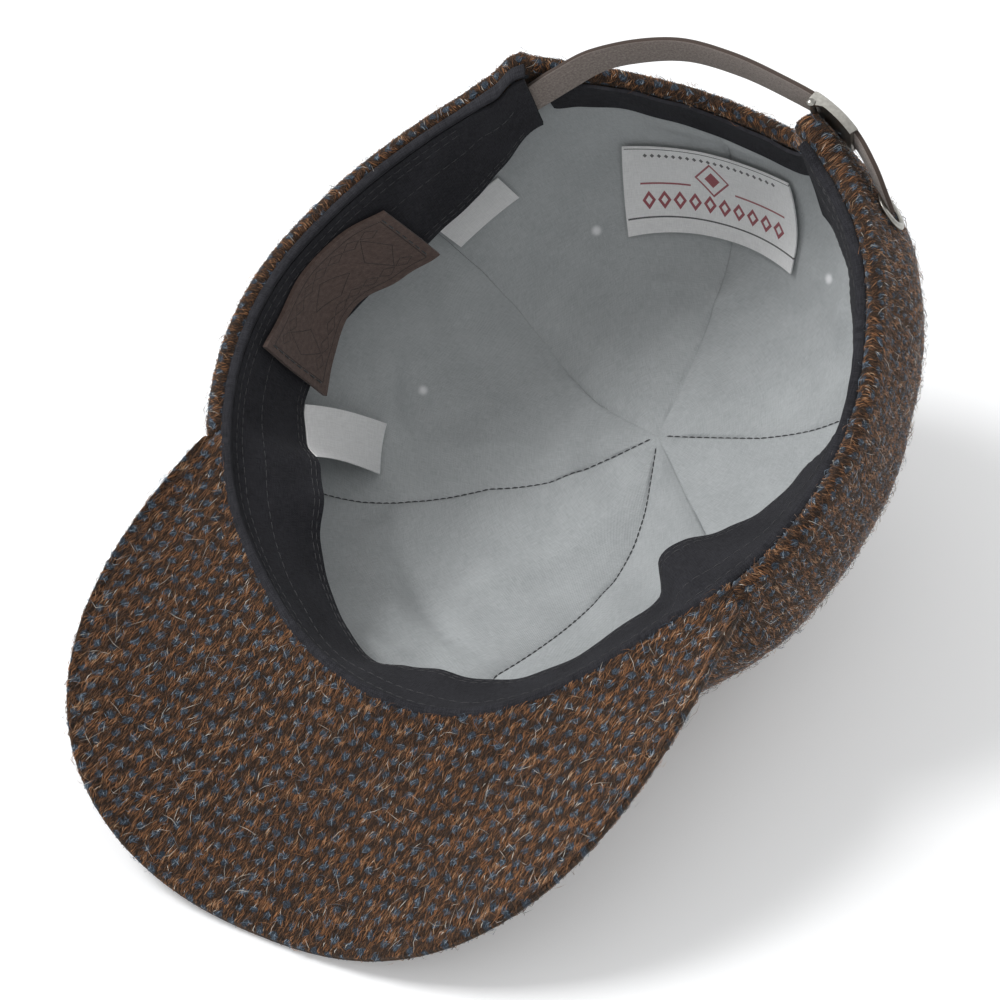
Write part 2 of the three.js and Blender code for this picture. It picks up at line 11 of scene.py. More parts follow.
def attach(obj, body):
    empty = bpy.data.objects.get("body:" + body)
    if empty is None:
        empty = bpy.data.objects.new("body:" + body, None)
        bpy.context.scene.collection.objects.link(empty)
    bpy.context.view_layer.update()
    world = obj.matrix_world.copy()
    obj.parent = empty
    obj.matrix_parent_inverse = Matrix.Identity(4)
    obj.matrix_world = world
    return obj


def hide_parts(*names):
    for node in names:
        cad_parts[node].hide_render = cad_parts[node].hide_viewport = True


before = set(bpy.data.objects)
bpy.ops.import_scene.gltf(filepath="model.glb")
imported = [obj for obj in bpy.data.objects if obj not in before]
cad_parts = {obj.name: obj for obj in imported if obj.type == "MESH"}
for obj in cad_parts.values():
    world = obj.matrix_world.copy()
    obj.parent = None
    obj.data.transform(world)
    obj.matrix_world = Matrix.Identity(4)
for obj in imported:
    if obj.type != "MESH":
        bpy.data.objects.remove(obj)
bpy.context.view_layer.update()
print("frame loaded:", len(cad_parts), "nodes")

capTilt = math.radians(30)
creaseAngle = math.radians(48)     # edges bent further than this stay sharp
capOrigin = np.array([1.928, 12.407, 92.631])     # middle of the rim in the row frame, mm


# Small tools

def toRow(points):
    # turns cap-frame points about X by the tilt, moves them to the cap's place, mm to metres
    c, s = math.cos(capTilt), math.sin(capTilt)
    x, y, z = points[..., 0], points[..., 1], points[..., 2]
    return (np.stack([x, c * y - s * z, s * y + c * z], -1) + capOrigin) * 0.001


def throughRows(table, column, closed=False):
    # cubic Hermite curve through a table's rows, the slope at a row taken from its two neighbours
    at = np.array(table["angle"], float)
    value = np.array(table[column], float)
    if closed:
        at = np.concatenate([at - 360, at, at + 360])
        value = np.tile(value, 3)
    before = np.maximum(np.arange(len(at)) - 1, 0)
    after = np.minimum(np.arange(len(at)) + 1, len(at) - 1)
    slope = (value[after] - value[before]) / (at[after] - at[before])
    start = at[len(at) // 3]

    def curve(angle):
        a = np.asarray(angle, float)
        a = start + (a - start) % 360 if closed else np.clip(a, at[0], at[-1])
        i = np.clip(np.searchsorted(at, a, side="right") - 1, 0, len(at) - 2)
        span = at[i + 1] - at[i]
        s = (a - at[i]) / span
        ends = value[i] * (1 + 2 * s) * (1 - s) ** 2 + value[i + 1] * s * s * (3 - 2 * s)
        return ends + span * (slope[i] * s * (1 - s) ** 2 - slope[i + 1] * s * s * (1 - s))
    return curve


def smooth(x, low, high):
    # 0 up to low, 1 from high on, and the cubic 3tt - 2ttt between them
    t = np.clip((np.asarray(x, float) - low) / (high - low), 0, 1)
    return t * t * (3 - 2 * t)


def unit(vectors):
    # each vector divided by its length
    return vectors / np.maximum(np.linalg.norm(vectors, axis=-1, keepdims=True), 1e-12)


def outward(angle):
    # level unit vectors away from the cap's middle: 0 is the front, positive angles go to +x
    a = np.radians(angle)
    return np.stack([np.sin(a), -np.cos(a), np.zeros_like(a)], -1)


def wobble(x, y, size, seed):
    # soft unevenness: a sum of six sine waves of random direction, about `size` mm long
    rng = np.random.default_rng(seed)
    turn = rng.uniform(0, 2 * np.pi, 6)
    wave = 2 * np.pi / (size * rng.uniform(0.7, 1.6, 6))
    shift = rng.uniform(0, 2 * np.pi, 6)
    total = np.zeros(np.broadcast(x, y).shape)
    for t, w, s in zip(turn, wave, shift):
        total += np.sin(w * (x * np.cos(t) + y * np.sin(t)) + s)
    return total / 6


def quadsOf(index):
    # the four corners of each cell of a grid of point numbers
    return np.stack([index[:-1, :-1], index[1:, :-1], index[1:, 1:], index[:-1, 1:]], -1).reshape(-1, 4)


def makeMesh(name, points, faces, cloth, sharp):
    mesh = bpy.data.meshes.new(name)
    mesh.vertices.add(len(points))
    mesh.vertices.foreach_set("co", toRow(points).astype(np.float32).ravel())
    mesh.loops.add(faces.size)
    mesh.loops.foreach_set("vertex_index", faces.astype(np.int32).ravel())
    mesh.polygons.add(len(faces))
    mesh.polygons.foreach_set("loop_start", np.arange(0, faces.size, faces.shape[1], dtype=np.int32))
    mesh.polygons.foreach_set("use_smooth", np.full(len(faces), True))
    layer = mesh.uv_layers.new(name="cloth")
    layer.data.foreach_set("uv", cloth[faces.ravel()].astype(np.float32).ravel())
    mesh.update(calc_edges=True)
    if sharp:
        mesh.set_sharp_from_angle(angle=creaseAngle)
    mesh.validate()
    return mesh


def facingOut(points, faces):
    # turns the faces round if the closed surface encloses a negative volume
    a, b, c = points[faces[:, 0]], points[faces[:, 1]], points[faces[:, 2]]
    volume = np.einsum("ij,ij->i", a, np.cross(b, c)).sum()
    if faces.shape[1] == 4:
        d = points[faces[:, 3]]
        volume += np.einsum("ij,ij->i", a, np.cross(c, d)).sum()
    return faces[:, ::-1] if volume < 0 else faces


def wallParts(outer, inner, clothOut, clothIn=None, closed=False):
    # two grids of points as the two sides of a cloth, joined along their borders into one closed surface
    n, m = outer.shape[:2]
    top = np.arange(n * m).reshape(n, m)
    if closed:
        top = np.vstack([top, top[:1]])
    under = top + n * m
    faces = [quadsOf(top), quadsOf(under)[:, ::-1]]
    for rim, back in ((top[:, 0], under[:, 0]), (top[::-1, -1], under[::-1, -1])):
        faces.append(np.stack([rim[:-1], back[:-1], back[1:], rim[1:]], -1))
    if not closed:
        for rim, back in ((top[0, ::-1], under[0, ::-1]), (top[-1], under[-1])):
            faces.append(np.stack([rim[:-1], back[:-1], back[1:], rim[1:]], -1))
    points = np.concatenate([outer.reshape(-1, 3), inner.reshape(-1, 3)])
    clothIn = clothOut if clothIn is None else clothIn
    cloth = np.concatenate([clothOut.reshape(-1, 2), clothIn.reshape(-1, 2)])
    return points, facingOut(points, np.concatenate(faces)), cloth


def tubeParts(rings, cloth=None):
    # a closed profile (k points) carried along a path (n rings): its two halves are the sides of a wall
    half = rings.shape[1] // 2
    if cloth is None:
        cloth = np.zeros(rings.shape[:2] + (2,))
    return wallParts(rings[:, :half], rings[:, half:][:, ::-1], cloth[:, :half], cloth[:, half:][:, ::-1])


def manyTubes(rings):
    # a stack of alike tubes (s, n, k, 3): one tube's faces, repeated with the number of its points added
    s, n, k = rings.shape[:3]
    faces = tubeParts(rings[0])[1]
    half = k // 2
    both = np.concatenate([rings[:, :, :half].reshape(s, -1, 3),
                           rings[:, :, half:][:, :, ::-1].reshape(s, -1, 3)], 1)
    shift = (np.arange(s) * n * k)[:, None, None]
    return both.reshape(-1, 3), (faces[None] + shift).reshape(-1, 4), np.zeros((s * n * k, 2))


def stitchesOn(path, lift, length, gap, radius):
    # stitches along a path: short tubes that dip into the cloth at both ends, thickest in the middle
    run = np.concatenate([[0], np.cumsum(np.linalg.norm(np.diff(path, axis=0), axis=1))])
    t = np.linspace(0, 1, 5)
    at = np.arange(int(run[-1] // (length + gap)))[:, None] * (length + gap) + t * length + gap / 2
    place = np.stack([np.interp(at, run, path[:, k]) for k in range(3)], -1)
    up = unit(np.stack([np.interp(at, run, lift[:, k]) for k in range(3)], -1))
    side = unit(np.cross(np.gradient(place, axis=1), up))
    bow = np.sin(np.pi * np.clip(t, 0.06, 0.94))
    place = place + up * (radius * (1.2 * bow - 0.7))[None, :, None]
    turn = np.linspace(0, 2 * np.pi, 6, endpoint=False)
    thick = (radius * (0.45 + 0.55 * bow))[None, :, None, None]
    rings = place[:, :, None] + thick * (side[:, :, None] * np.cos(turn)[:, None]
                                         + up[:, :, None] * np.sin(turn)[:, None])
    return manyTubes(rings)


def addPiece(name, parts, material, slot, *nodes, sharp=True):
    points, faces, cloth = parts
    piece = bpy.data.objects.new(name, makeMesh(name, points, faces, cloth, sharp))
    bpy.context.collection.objects.link(piece)
    piece.data.materials.append(material)
    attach(piece, "root")
    if nodes:
        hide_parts(*nodes)
    return piece


def joinParts(*several):
    points, faces, cloth, count = [], [], [], 0
    for p, f, c in several:
        points.append(p)
        faces.append(f + count)
        cloth.append(c)
        count += len(p)
    return np.concatenate(points), np.concatenate(faces), np.concatenate(cloth)


# Materials

def feed(tree, socket, value):
    if isinstance(value, bpy.types.NodeSocket):
        tree.links.new(value, socket)
    elif value is not None:
        socket.default_value = value


def addNode(tree, kind, *inputs, **settings):
    made = tree.nodes.new(kind)
    for key, value in settings.items():
        setattr(made, key, value)
    for socket, value in zip(made.inputs, inputs):
        feed(tree, socket, value)
    return made


def calc(tree, operation, a, b=None, c=None):
    return addNode(tree, "ShaderNodeMath", a, b, c, operation=operation).outputs[0]


def noise(tree, vector, scale, detail=2.0, roughness=0.5):
    made = addNode(tree, "ShaderNodeTexNoise")
    feed(tree, made.inputs["Vector"], vector)
    for key, value in (("Scale", scale), ("Detail", detail), ("Roughness", roughness)):
        made.inputs[key].default_value = value
    return made


def stretched(tree, vector, scale, turn=0.0):
    made = addNode(tree, "ShaderNodeMapping", vector)
    made.inputs["Scale"].default_value = scale
    made.inputs["Rotation"].default_value = (0, 0, math.radians(turn))
    return made.outputs[0]


def ramp(tree, amount, stops):
    made = addNode(tree, "ShaderNodeValToRGB", amount)
    made.color_ramp.elements[0].position = stops[0][0]
    made.color_ramp.elements[1].position = stops[-1][0]
    for place, _ in stops[1:-1]:
        made.color_ramp.elements.new(place)
    for element, (_, colour) in zip(made.color_ramp.elements, stops):
        element.color = (*colour, 1)
    return made.outputs[0]


def blendColour(tree, amount, a, b):
    made = addNode(tree, "ShaderNodeMix", data_type="RGBA")
    feed(tree, made.inputs[0], amount)
    for socket, value in ((made.inputs[6], a), (made.inputs[7], b)):
        feed(tree, socket, (*value, 1) if isinstance(value, tuple) else value)
    return made.outputs[2]


def between(tree, value, low, high):
    made = addNode(tree, "ShaderNodeMapRange", value, low, high, 0.0, 1.0, interpolation_type="SMOOTHSTEP")
    return made.outputs[0]


def newGroup(name, inputs, outputs):
    tree = bpy.data.node_groups.new(name, "ShaderNodeTree")
    for title, kind, value in inputs:
        socket = tree.interface.new_socket(title, in_out="INPUT", socket_type=kind)
        if value is not None:
            socket.default_value = value
    for title, kind in outputs:
        tree.interface.new_socket(title, in_out="OUTPUT", socket_type=kind)
    return tree, tree.nodes.new("NodeGroupInput"), tree.nodes.new("NodeGroupOutput")


weaveStyle = {"acrossRepeat": 4.4, "alongRepeat": 4.35, "drift": [(0.45, 0.11, 0.29, 0.0, 0), (0.25,
                                                                                               -0.23, 0.71, 1.7, 0),
                                                             (0.45, 0.27, -0.13, 0.6, 1), (0.25, 0.67,
                                                                                           0.19, 2.9, 1)]}


def latticeAt(u, v):
    # 1 in the middle of a blue spot, 0 or less between them: two cosines, shifted by slow sine waves
    shift = [0, 0]
    for size, alongU, alongV, start, axis in weaveStyle["drift"]:
        shift[axis] = shift[axis] + size * np.sin(alongU * u + alongV * v + start)
    return 0.5 * (np.cos(2 * np.pi * (u + shift[0]) / weaveStyle["acrossRepeat"])
                  + np.cos(2 * np.pi * (v + shift[1]) / weaveStyle["alongRepeat"]))


def tweedWeave():
    # the same lattice of blue-grey spots as latticeAt, over short rust and brown floats along the warp (v)
    tree, given, result = newGroup(
        "tweedWeave", [("Cloth", "NodeSocketVector", None)],
        [("Color", "NodeSocketColor"), ("Height", "NodeSocketFloat")])
    cloth = given.outputs[0]
    place = addNode(tree, "ShaderNodeSeparateXYZ", cloth).outputs
    moved = [place[0], place[1]]
    for size, alongU, alongV, start, axis in weaveStyle["drift"]:
        wave = calc(tree, "MULTIPLY_ADD", place[0], alongU, start)
        wave = calc(tree, "SINE", calc(tree, "MULTIPLY_ADD", place[1], alongV, wave))
        moved[axis] = calc(tree, "MULTIPLY_ADD", wave, size, moved[axis])
    across = calc(tree, "COSINE", calc(tree, "MULTIPLY", moved[0],
                                       2 * math.pi / weaveStyle["acrossRepeat"]))
    along = calc(tree, "COSINE", calc(tree, "MULTIPLY", moved[1], 2 * math.pi / weaveStyle["alongRepeat"]))
    rough = calc(tree, "MULTIPLY", noise(tree, cloth, 1.6, 3, 0.75).outputs[0], 1.5)
    spots = between(tree, calc(tree, "ADD", calc(tree, "ADD", across, along), rough), 1.35, 2.1)
    floats = noise(tree, stretched(tree, cloth, (2.6, 0.6, 1), 4), 1.0, 4, 0.75).outputs[0]
    hair = noise(tree, stretched(tree, cloth, (7.5, 2.6, 1), -22), 1.0, 3, 0.75).outputs[0]
    tone = calc(tree, "ADD", calc(tree, "MULTIPLY", floats, 0.62), calc(tree, "MULTIPLY", hair, 0.48))
    brown = ramp(tree, tone, [(0.46, (0.004, 0.0035, 0.0035)), (0.54, (0.022, 0.014, 0.010)),
                              (0.60, (0.075, 0.036, 0.018)), (0.67, (0.22, 0.10, 0.042)),
                              (0.78, (0.42, 0.28, 0.17))])
    blue = ramp(tree, hair, [(0.40, (0.004, 0.006, 0.009)), (0.50, (0.024, 0.036, 0.054)),
                             (0.60, (0.085, 0.125, 0.175)), (0.74, (0.28, 0.33, 0.38))])
    tint = noise(tree, cloth, 0.05, 2).outputs[0]
    shade = calc(tree, "MULTIPLY_ADD", tint, 0.6, 0.65)
    shaded = addNode(tree, "ShaderNodeVectorMath", blendColour(tree, spots, brown, blue), operation="SCALE")
    feed(tree, shaded.inputs["Scale"], shade)
    feed(tree, result.inputs["Color"], shaded.outputs[0])
    height = calc(tree, "MULTIPLY_ADD", spots, 0.25, calc(tree, "MULTIPLY", tone, 1.2))
    feed(tree, result.inputs["Height"], height)
    return tree


def plainWeave():
    # over-and-under threads of a given pitch: two crossed waves, with thicker and thinner threads
    tree, given, result = newGroup(
        "plainWeave", [("Cloth", "NodeSocketVector", None), ("Pitch", "NodeSocketFloat", 0.5)],
        [("Height", "NodeSocketFloat"), ("Slub", "NodeSocketFloat")])
    cloth, pitch = given.outputs[0], given.outputs[1]
    place = addNode(tree, "ShaderNodeSeparateXYZ", cloth)
    waves = []
    for socket in place.outputs[:2]:
        turn = calc(tree, "DIVIDE", calc(tree, "MULTIPLY", socket, 2 * math.pi), pitch)
        waves.append(calc(tree, "SINE", turn))
    weave = calc(tree, "MULTIPLY", waves[0], waves[1])
    slub = noise(tree, stretched(tree, cloth, (0.35, 4.0, 1)), 1.0, 2).outputs[0]
    slubUp = noise(tree, stretched(tree, cloth, (4.0, 0.35, 1)), 1.0, 2).outputs[0]
    slubs = calc(tree, "ADD", slub, slubUp)
    feed(tree, result.inputs["Height"], calc(tree, "ADD", calc(tree, "MULTIPLY", weave, 0.5), slubs))
    feed(tree, result.inputs["Slub"], calc(tree, "MULTIPLY", slubs, 0.5))
    return tree


def hideGrain():
    # leather: small raised cells with fine pits between them
    tree, given, result = newGroup(
        "hideGrain", [("Cloth", "NodeSocketVector", None), ("Size", "NodeSocketFloat", 1.0)],
        [("Height", "NodeSocketFloat"), ("Mottle", "NodeSocketFloat")])
    scaled = addNode(tree, "ShaderNodeVectorMath", given.outputs[0], operation="SCALE")
    feed(tree, scaled.inputs["Scale"], given.outputs[1])
    cells = addNode(tree, "ShaderNodeTexVoronoi", scaled.outputs[0], feature="F1")
    cells.inputs["Scale"].default_value = 1.6
    fine = noise(tree, scaled.outputs[0], 3.0, 4, 0.65).outputs[0]
    height = calc(tree, "SUBTRACT", fine, calc(tree, "MULTIPLY", cells.outputs[0], 0.5))
    feed(tree, result.inputs["Height"], height)
    feed(tree, result.inputs["Mottle"], noise(tree, scaled.outputs[0], 0.7, 4, 0.6).outputs[0])
    return tree


def newMaterial(name, roughness, sheen=0.0, metallic=0.0):
    material = bpy.data.materials.new(name)
    material.use_nodes = True
    tree = material.node_tree
    shader = tree.nodes["Principled BSDF"]
    shader.inputs["Roughness"].default_value = roughness
    shader.inputs["Metallic"].default_value = metallic
    shader.inputs["Sheen Weight"].default_value = sheen
    cloth = addNode(tree, "ShaderNodeUVMap", uv_map="cloth").outputs[0]
    return material, tree, shader, cloth


def useGroup(tree, group, *inputs):
    made = addNode(tree, "ShaderNodeGroup")
    made.node_tree = group
    for socket, value in zip(made.inputs, inputs):
        feed(tree, socket, value)
    return made


def bump(tree, shader, height, distance):
    made = addNode(tree, "ShaderNodeBump")
    made.inputs["Strength"].default_value = 1.0
    made.inputs["Distance"].default_value = distance
    feed(tree, made.inputs["Height"], height)
    feed(tree, shader.inputs["Normal"], made.outputs[0])


def tweedMaterial(weave):
    material, tree, shader, cloth = newMaterial("tweed", 0.95, 0.12)
    shader.inputs["Sheen Roughness"].default_value = 0.45
    shader.inputs["Sheen Tint"].default_value = (0.95, 0.82, 0.70, 1)
    shader.inputs["Specular IOR Level"].default_value = 0.2
    made = useGroup(tree, weave, cloth)
    feed(tree, shader.inputs["Base Color"], made.outputs["Color"])
    bump(tree, shader, made.outputs["Height"], 0.0007)
    return material


def fibreMaterial(name, stops):
    # each fibre has one place on its UV map, which picks its colour
    material, tree, shader, cloth = newMaterial(name, 0.8, 0.3)
    shader.inputs["Specular IOR Level"].default_value = 0.3
    place = addNode(tree, "ShaderNodeSeparateXYZ", cloth)
    feed(tree, shader.inputs["Base Color"], ramp(tree, place.outputs[0], stops))
    return material


def lozenges(tree, u, v, row):
    # 1 inside a row of lozenges: hollow ones have a ring only
    afterStart = calc(tree, "GREATER_THAN", u, row["from"])
    inside = calc(tree, "MULTIPLY", afterStart, calc(tree, "LESS_THAN", u, row["to"]))
    shifted = calc(tree, "DIVIDE", calc(tree, "SUBTRACT", u, row["from"]), row["pitch"])
    across = calc(tree, "ABSOLUTE", calc(tree, "SUBTRACT", calc(tree, "FRACT", shifted), 0.5))
    across = calc(tree, "MULTIPLY", across, row["pitch"] / row["halfWidth"])
    along = calc(tree, "ABSOLUTE", calc(tree, "SUBTRACT", v, row["middle"]))
    along = calc(tree, "DIVIDE", along, row["halfHeight"])
    reach = calc(tree, "ADD", across, along)
    mask = calc(tree, "LESS_THAN", reach, 1.0)
    if row.get("hollow"):
        mask = calc(tree, "MULTIPLY", mask, calc(tree, "GREATER_THAN", reach, row["hollow"]))
    return calc(tree, "MULTIPLY", mask, inside)


def rule(tree, u, v, box):
    # 1 inside a box (from u, to u, from v, to v)
    mask = calc(tree, "MULTIPLY", calc(tree, "GREATER_THAN", u, box[0]), calc(tree, "LESS_THAN", u, box[1]))
    mask = calc(tree, "MULTIPLY", mask, calc(tree, "GREATER_THAN", v, box[2]))
    return calc(tree, "MULTIPLY", mask, calc(tree, "LESS_THAN", v, box[3]))

def markMask(tree, place, kind, shape):
    draw = lozenges if kind == "lozenges" else rule
    return draw(tree, place[0], place[1], shape)


def wovenMaterial(name, weave, style, marks=()):
    material, tree, shader, cloth = newMaterial(name, style["roughness"], style["sheen"])
    shader.inputs["Sheen Roughness"].default_value = 0.5
    shader.inputs["Specular IOR Level"].default_value = style["specular"]
    made = useGroup(tree, weave, cloth, style["pitch"])
    cloud = noise(tree, cloth, 0.06, 3).outputs[0]
    slubs = calc(tree, "MULTIPLY", made.outputs["Slub"], 0.8)
    tone = calc(tree, "ADD", slubs, calc(tree, "MULTIPLY", cloud, 0.25))
    colour = ramp(tree, tone, [(0.42, style["dark"]), (0.63, style["light"])])
    place = addNode(tree, "ShaderNodeSeparateXYZ", cloth).outputs
    # marks painted over the weave: print, and on the woven label also painted shadow along its top and bottom edges
    for kind, shape, paint in marks:
        mask = markMask(tree, place, kind, shape)
        colour = blendColour(tree, calc(tree, "MULTIPLY", mask, 0.9), colour, paint)
    for spot in style.get("glow", ()):
        # light coming through an eyelet behind the cloth
        at = addNode(tree, "ShaderNodeTexCoord").outputs["Object"]
        far = addNode(tree, "ShaderNodeVectorMath", at, tuple(spot), operation="DISTANCE").outputs["Value"]
        near = calc(tree, "SUBTRACT", 1.0, between(tree, far, 0.0004, 0.0023))
        colour = blendColour(tree, calc(tree, "MULTIPLY", near, 0.8), colour, (0.98, 0.98, 1.0))
    feed(tree, shader.inputs["Base Color"], colour)
    bump(tree, shader, made.outputs["Height"], style["depth"])
    return material


def leatherMaterial(name, grain, dark, light, size, depth, roughness, edge=None, engraved=()):
    # the UV map's second number is under zero on the cut edges, which are smoother and browner
    material, tree, shader, cloth = newMaterial(name, roughness, 0.15)
    shader.inputs["Specular IOR Level"].default_value = 0.35
    made = useGroup(tree, grain, cloth, size)
    colour = ramp(tree, made.outputs["Mottle"], [(0.35, dark), (0.68, light)])
    place = addNode(tree, "ShaderNodeSeparateXYZ", cloth).outputs
    if edge:
        fine = noise(tree, cloth, 6.0, 3, 0.7).outputs[0]
        speck = between(tree, fine, 0.56, 0.68)
        colour = blendColour(tree, calc(tree, "MULTIPLY", speck, 0.35), colour, (0.42, 0.36, 0.32))
        onEdge = calc(tree, "LESS_THAN", place[1], 0.0)
        colour = blendColour(tree, onEdge, colour, edge)
    height = made.outputs["Height"]
    for kind, shape in engraved:
        mask = markMask(tree, place, kind, shape)
        colour = blendColour(tree, calc(tree, "MULTIPLY", mask, 0.75), colour, (0.018, 0.011, 0.009))
        height = calc(tree, "SUBTRACT", height, calc(tree, "MULTIPLY", mask, 1.5))
    feed(tree, shader.inputs["Base Color"], colour)
    bump(tree, shader, height, depth)
    return material


def metalMaterial():
    material, tree, shader, _ = newMaterial("nickel", 0.32, 0.0, 1.0)
    place = addNode(tree, "ShaderNodeTexCoord").outputs["Object"]
    haze = noise(tree, place, 900, 3).outputs[0]
    scratch = noise(tree, stretched(tree, place, (300, 4000, 4000), 35), 1.0, 2).outputs[0]
    colour = ramp(tree, haze, [(0.3, (0.33, 0.32, 0.295)), (0.7, (0.43, 0.42, 0.385))])
    feed(tree, shader.inputs["Base Color"], colour)
    feed(tree, shader.inputs["Roughness"], calc(tree, "ADD", calc(tree, "MULTIPLY", scratch, 0.2), 0.24))
    bump(tree, shader, scratch, 0.00003)
    return material


def threadMaterial(name, colour):
    material, tree, shader, _ = newMaterial(name, 0.75, 0.2)
    place = addNode(tree, "ShaderNodeTexCoord").outputs["Object"]
    light = tuple(min(1.0, c * 1.35) for c in colour)
    feed(tree, shader.inputs["Base Color"], ramp(tree, noise(tree, place, 2500, 2).outputs[0],
                                                 [(0.35, colour), (0.65, light)]))
    return material


tweedGroup = tweedWeave()
weaveGroup = plainWeave()
grainGroup = hideGrain()
tweed = tweedMaterial(tweedGroup)
fuzz = fibreMaterial("tweed_fuzz", [(0.0, (0.009, 0.007, 0.006)), (0.2, (0.040, 0.024, 0.016)),
                                    (0.34, (0.17, 0.078, 0.034)), (0.46, (0.36, 0.155, 0.060)),
                                    (0.56, (0.50, 0.34, 0.21)), (0.62, (0.012, 0.017, 0.025)),
                                    (0.76, (0.080, 0.120, 0.170)), (0.92, (0.26, 0.33, 0.40)),
                                    (1.0, (0.62, 0.58, 0.52))])
liningStyle = {"dark": (0.38, 0.400, 0.408), "light": (0.49, 0.512, 0.520), "pitch": 0.5, "depth": 0.0001,
               "roughness": 0.6, "sheen": 0.15, "specular": 0.3}
cottonStyle = {"dark": (0.016, 0.016, 0.019), "light": (0.036, 0.036, 0.042), "pitch": 0.7,
               "depth": 0.00015,
               "roughness": 0.9, "sheen": 0.03, "specular": 0.12}
satinStyle = {"dark": (0.80, 0.80, 0.80), "light": (0.93, 0.93, 0.93), "pitch": 0.42, "depth": 0.00008,
              "roughness": 0.5, "sheen": 0.2, "specular": 0.3}
# the woven label's printed rules and lozenges; its first two dark rules, along the label's top and bottom edges,
# are painted shadow at those edges, not print
wovenPrintAndEdgeShade = [
    ("rule", (0.6, 57.5, 0.5, 0.85), (0.03, 0.03, 0.03)), ("rule", (0.6, 57.5, 27.4, 27.9), (0.03, 0.03,
                                                                                             0.03)),
    ("rule", (5, 20, 15.0, 15.7), (0.30, 0.012, 0.03)), ("rule", (34, 51, 15.0, 15.7), (0.30, 0.012, 0.03)),
    ("lozenges", {"from": 20.5, "to": 33.5, "pitch": 13, "halfWidth": 5.5, "middle": 11.5, "halfHeight": 7,
                  "hollow": 0.86}, (0.30, 0.012, 0.03)),
    ("lozenges", {"from": 20.5, "to": 33.5, "pitch": 13, "halfWidth": 2.4, "middle": 11.5,
                  "halfHeight": 3.2},
     (0.30, 0.012, 0.03)),
    ("lozenges", {"from": 5, "to": 51, "pitch": 4.6, "halfWidth": 2.0, "middle": 21.6, "halfHeight": 3.4,
                  "hollow": 0.5}, (0.30, 0.012, 0.03)),
    ("lozenges", {"from": 6, "to": 50, "pitch": 2.2, "halfWidth": 0.7, "middle": 3.6, "halfHeight": 0.9},
     (0.05, 0.05, 0.05))]
blackCotton = wovenMaterial("black_cotton", weaveGroup, cottonStyle)
labelCloth = wovenMaterial("label_satin", weaveGroup, satinStyle)
wovenLabel = wovenMaterial("label_woven_print_and_edge_shade", weaveGroup, satinStyle, wovenPrintAndEdgeShade)
strapLeather = leatherMaterial("strap_nubuck", grainGroup, (0.16, 0.130, 0.115), (0.29, 0.25, 0.225),
                               2.0, 0.00012, 0.9, (0.062, 0.044, 0.036))
patchMarks = [("rule", (3.2, 56.8, 2.6, 3.0)), ("rule", (3.2, 56.8, 28.0, 28.4)), ("rule", (3.2, 3.6,
                                                                                            2.6, 28.4)),
              ("rule", (56.4, 56.8, 2.6, 28.4)),
              ("lozenges", {"from": 6, "to": 18, "pitch": 12, "halfWidth": 5, "middle": 15.5,
                            "halfHeight": 9,
                            "hollow": 0.93}),
              ("lozenges", {"from": 42, "to": 54, "pitch": 12, "halfWidth": 5, "middle": 15.5,
                            "halfHeight": 9,
                            "hollow": 0.93}),
              ("lozenges", {"from": 6, "to": 54, "pitch": 6, "halfWidth": 3, "middle": 6.2,
                            "halfHeight": 2.2,
                            "hollow": 0.84}),
              ("lozenges", {"from": 6, "to": 54, "pitch": 6, "halfWidth": 3, "middle": 24.8,
                            "halfHeight": 2.2,
                            "hollow": 0.84}),
              ("lozenges", {"from": 20, "to": 40, "pitch": 20, "halfWidth": 8, "middle": 15.5,
                            "halfHeight": 6,
                            "hollow": 0.93})]
patchLeather = leatherMaterial("patch_leather", grainGroup, (0.068, 0.043, 0.036), (0.108, 0.072, 0.060),
                               0.9, 0.00014, 0.6, engraved=patchMarks)
nickel = metalMaterial()
greyThread = threadMaterial("grey_thread", (0.035, 0.035, 0.038))
darkThread = threadMaterial("dark_thread", (0.028, 0.030, 0.032))
print("materials made")

# Wool fibres

wool = {"float": 2.7, "spotFloat": 1.7, "width": 0.23, "rise": 0.30, "looseShare": 0.085, "loose": 5.0,
        "looseWidth": 0.13, "looseRise": 1.1, "spotFrom": 0.42}


def gridAt(grid, i, j):
    # a grid read between its points: blended both ways from the four corners of a cell
    i, j = np.clip(i, 0, grid.shape[0] - 1.001), np.clip(j, 0, grid.shape[1] - 1.001)
    a, b = i.astype(int), j.astype(int)
    s, t = (i - a)[:, None], (j - b)[:, None]
    return ((grid[a, b] * (1 - s) + grid[a + 1, b] * s) * (1 - t)
            + (grid[a, b + 1] * (1 - s) + grid[a + 1, b + 1] * s) * t)


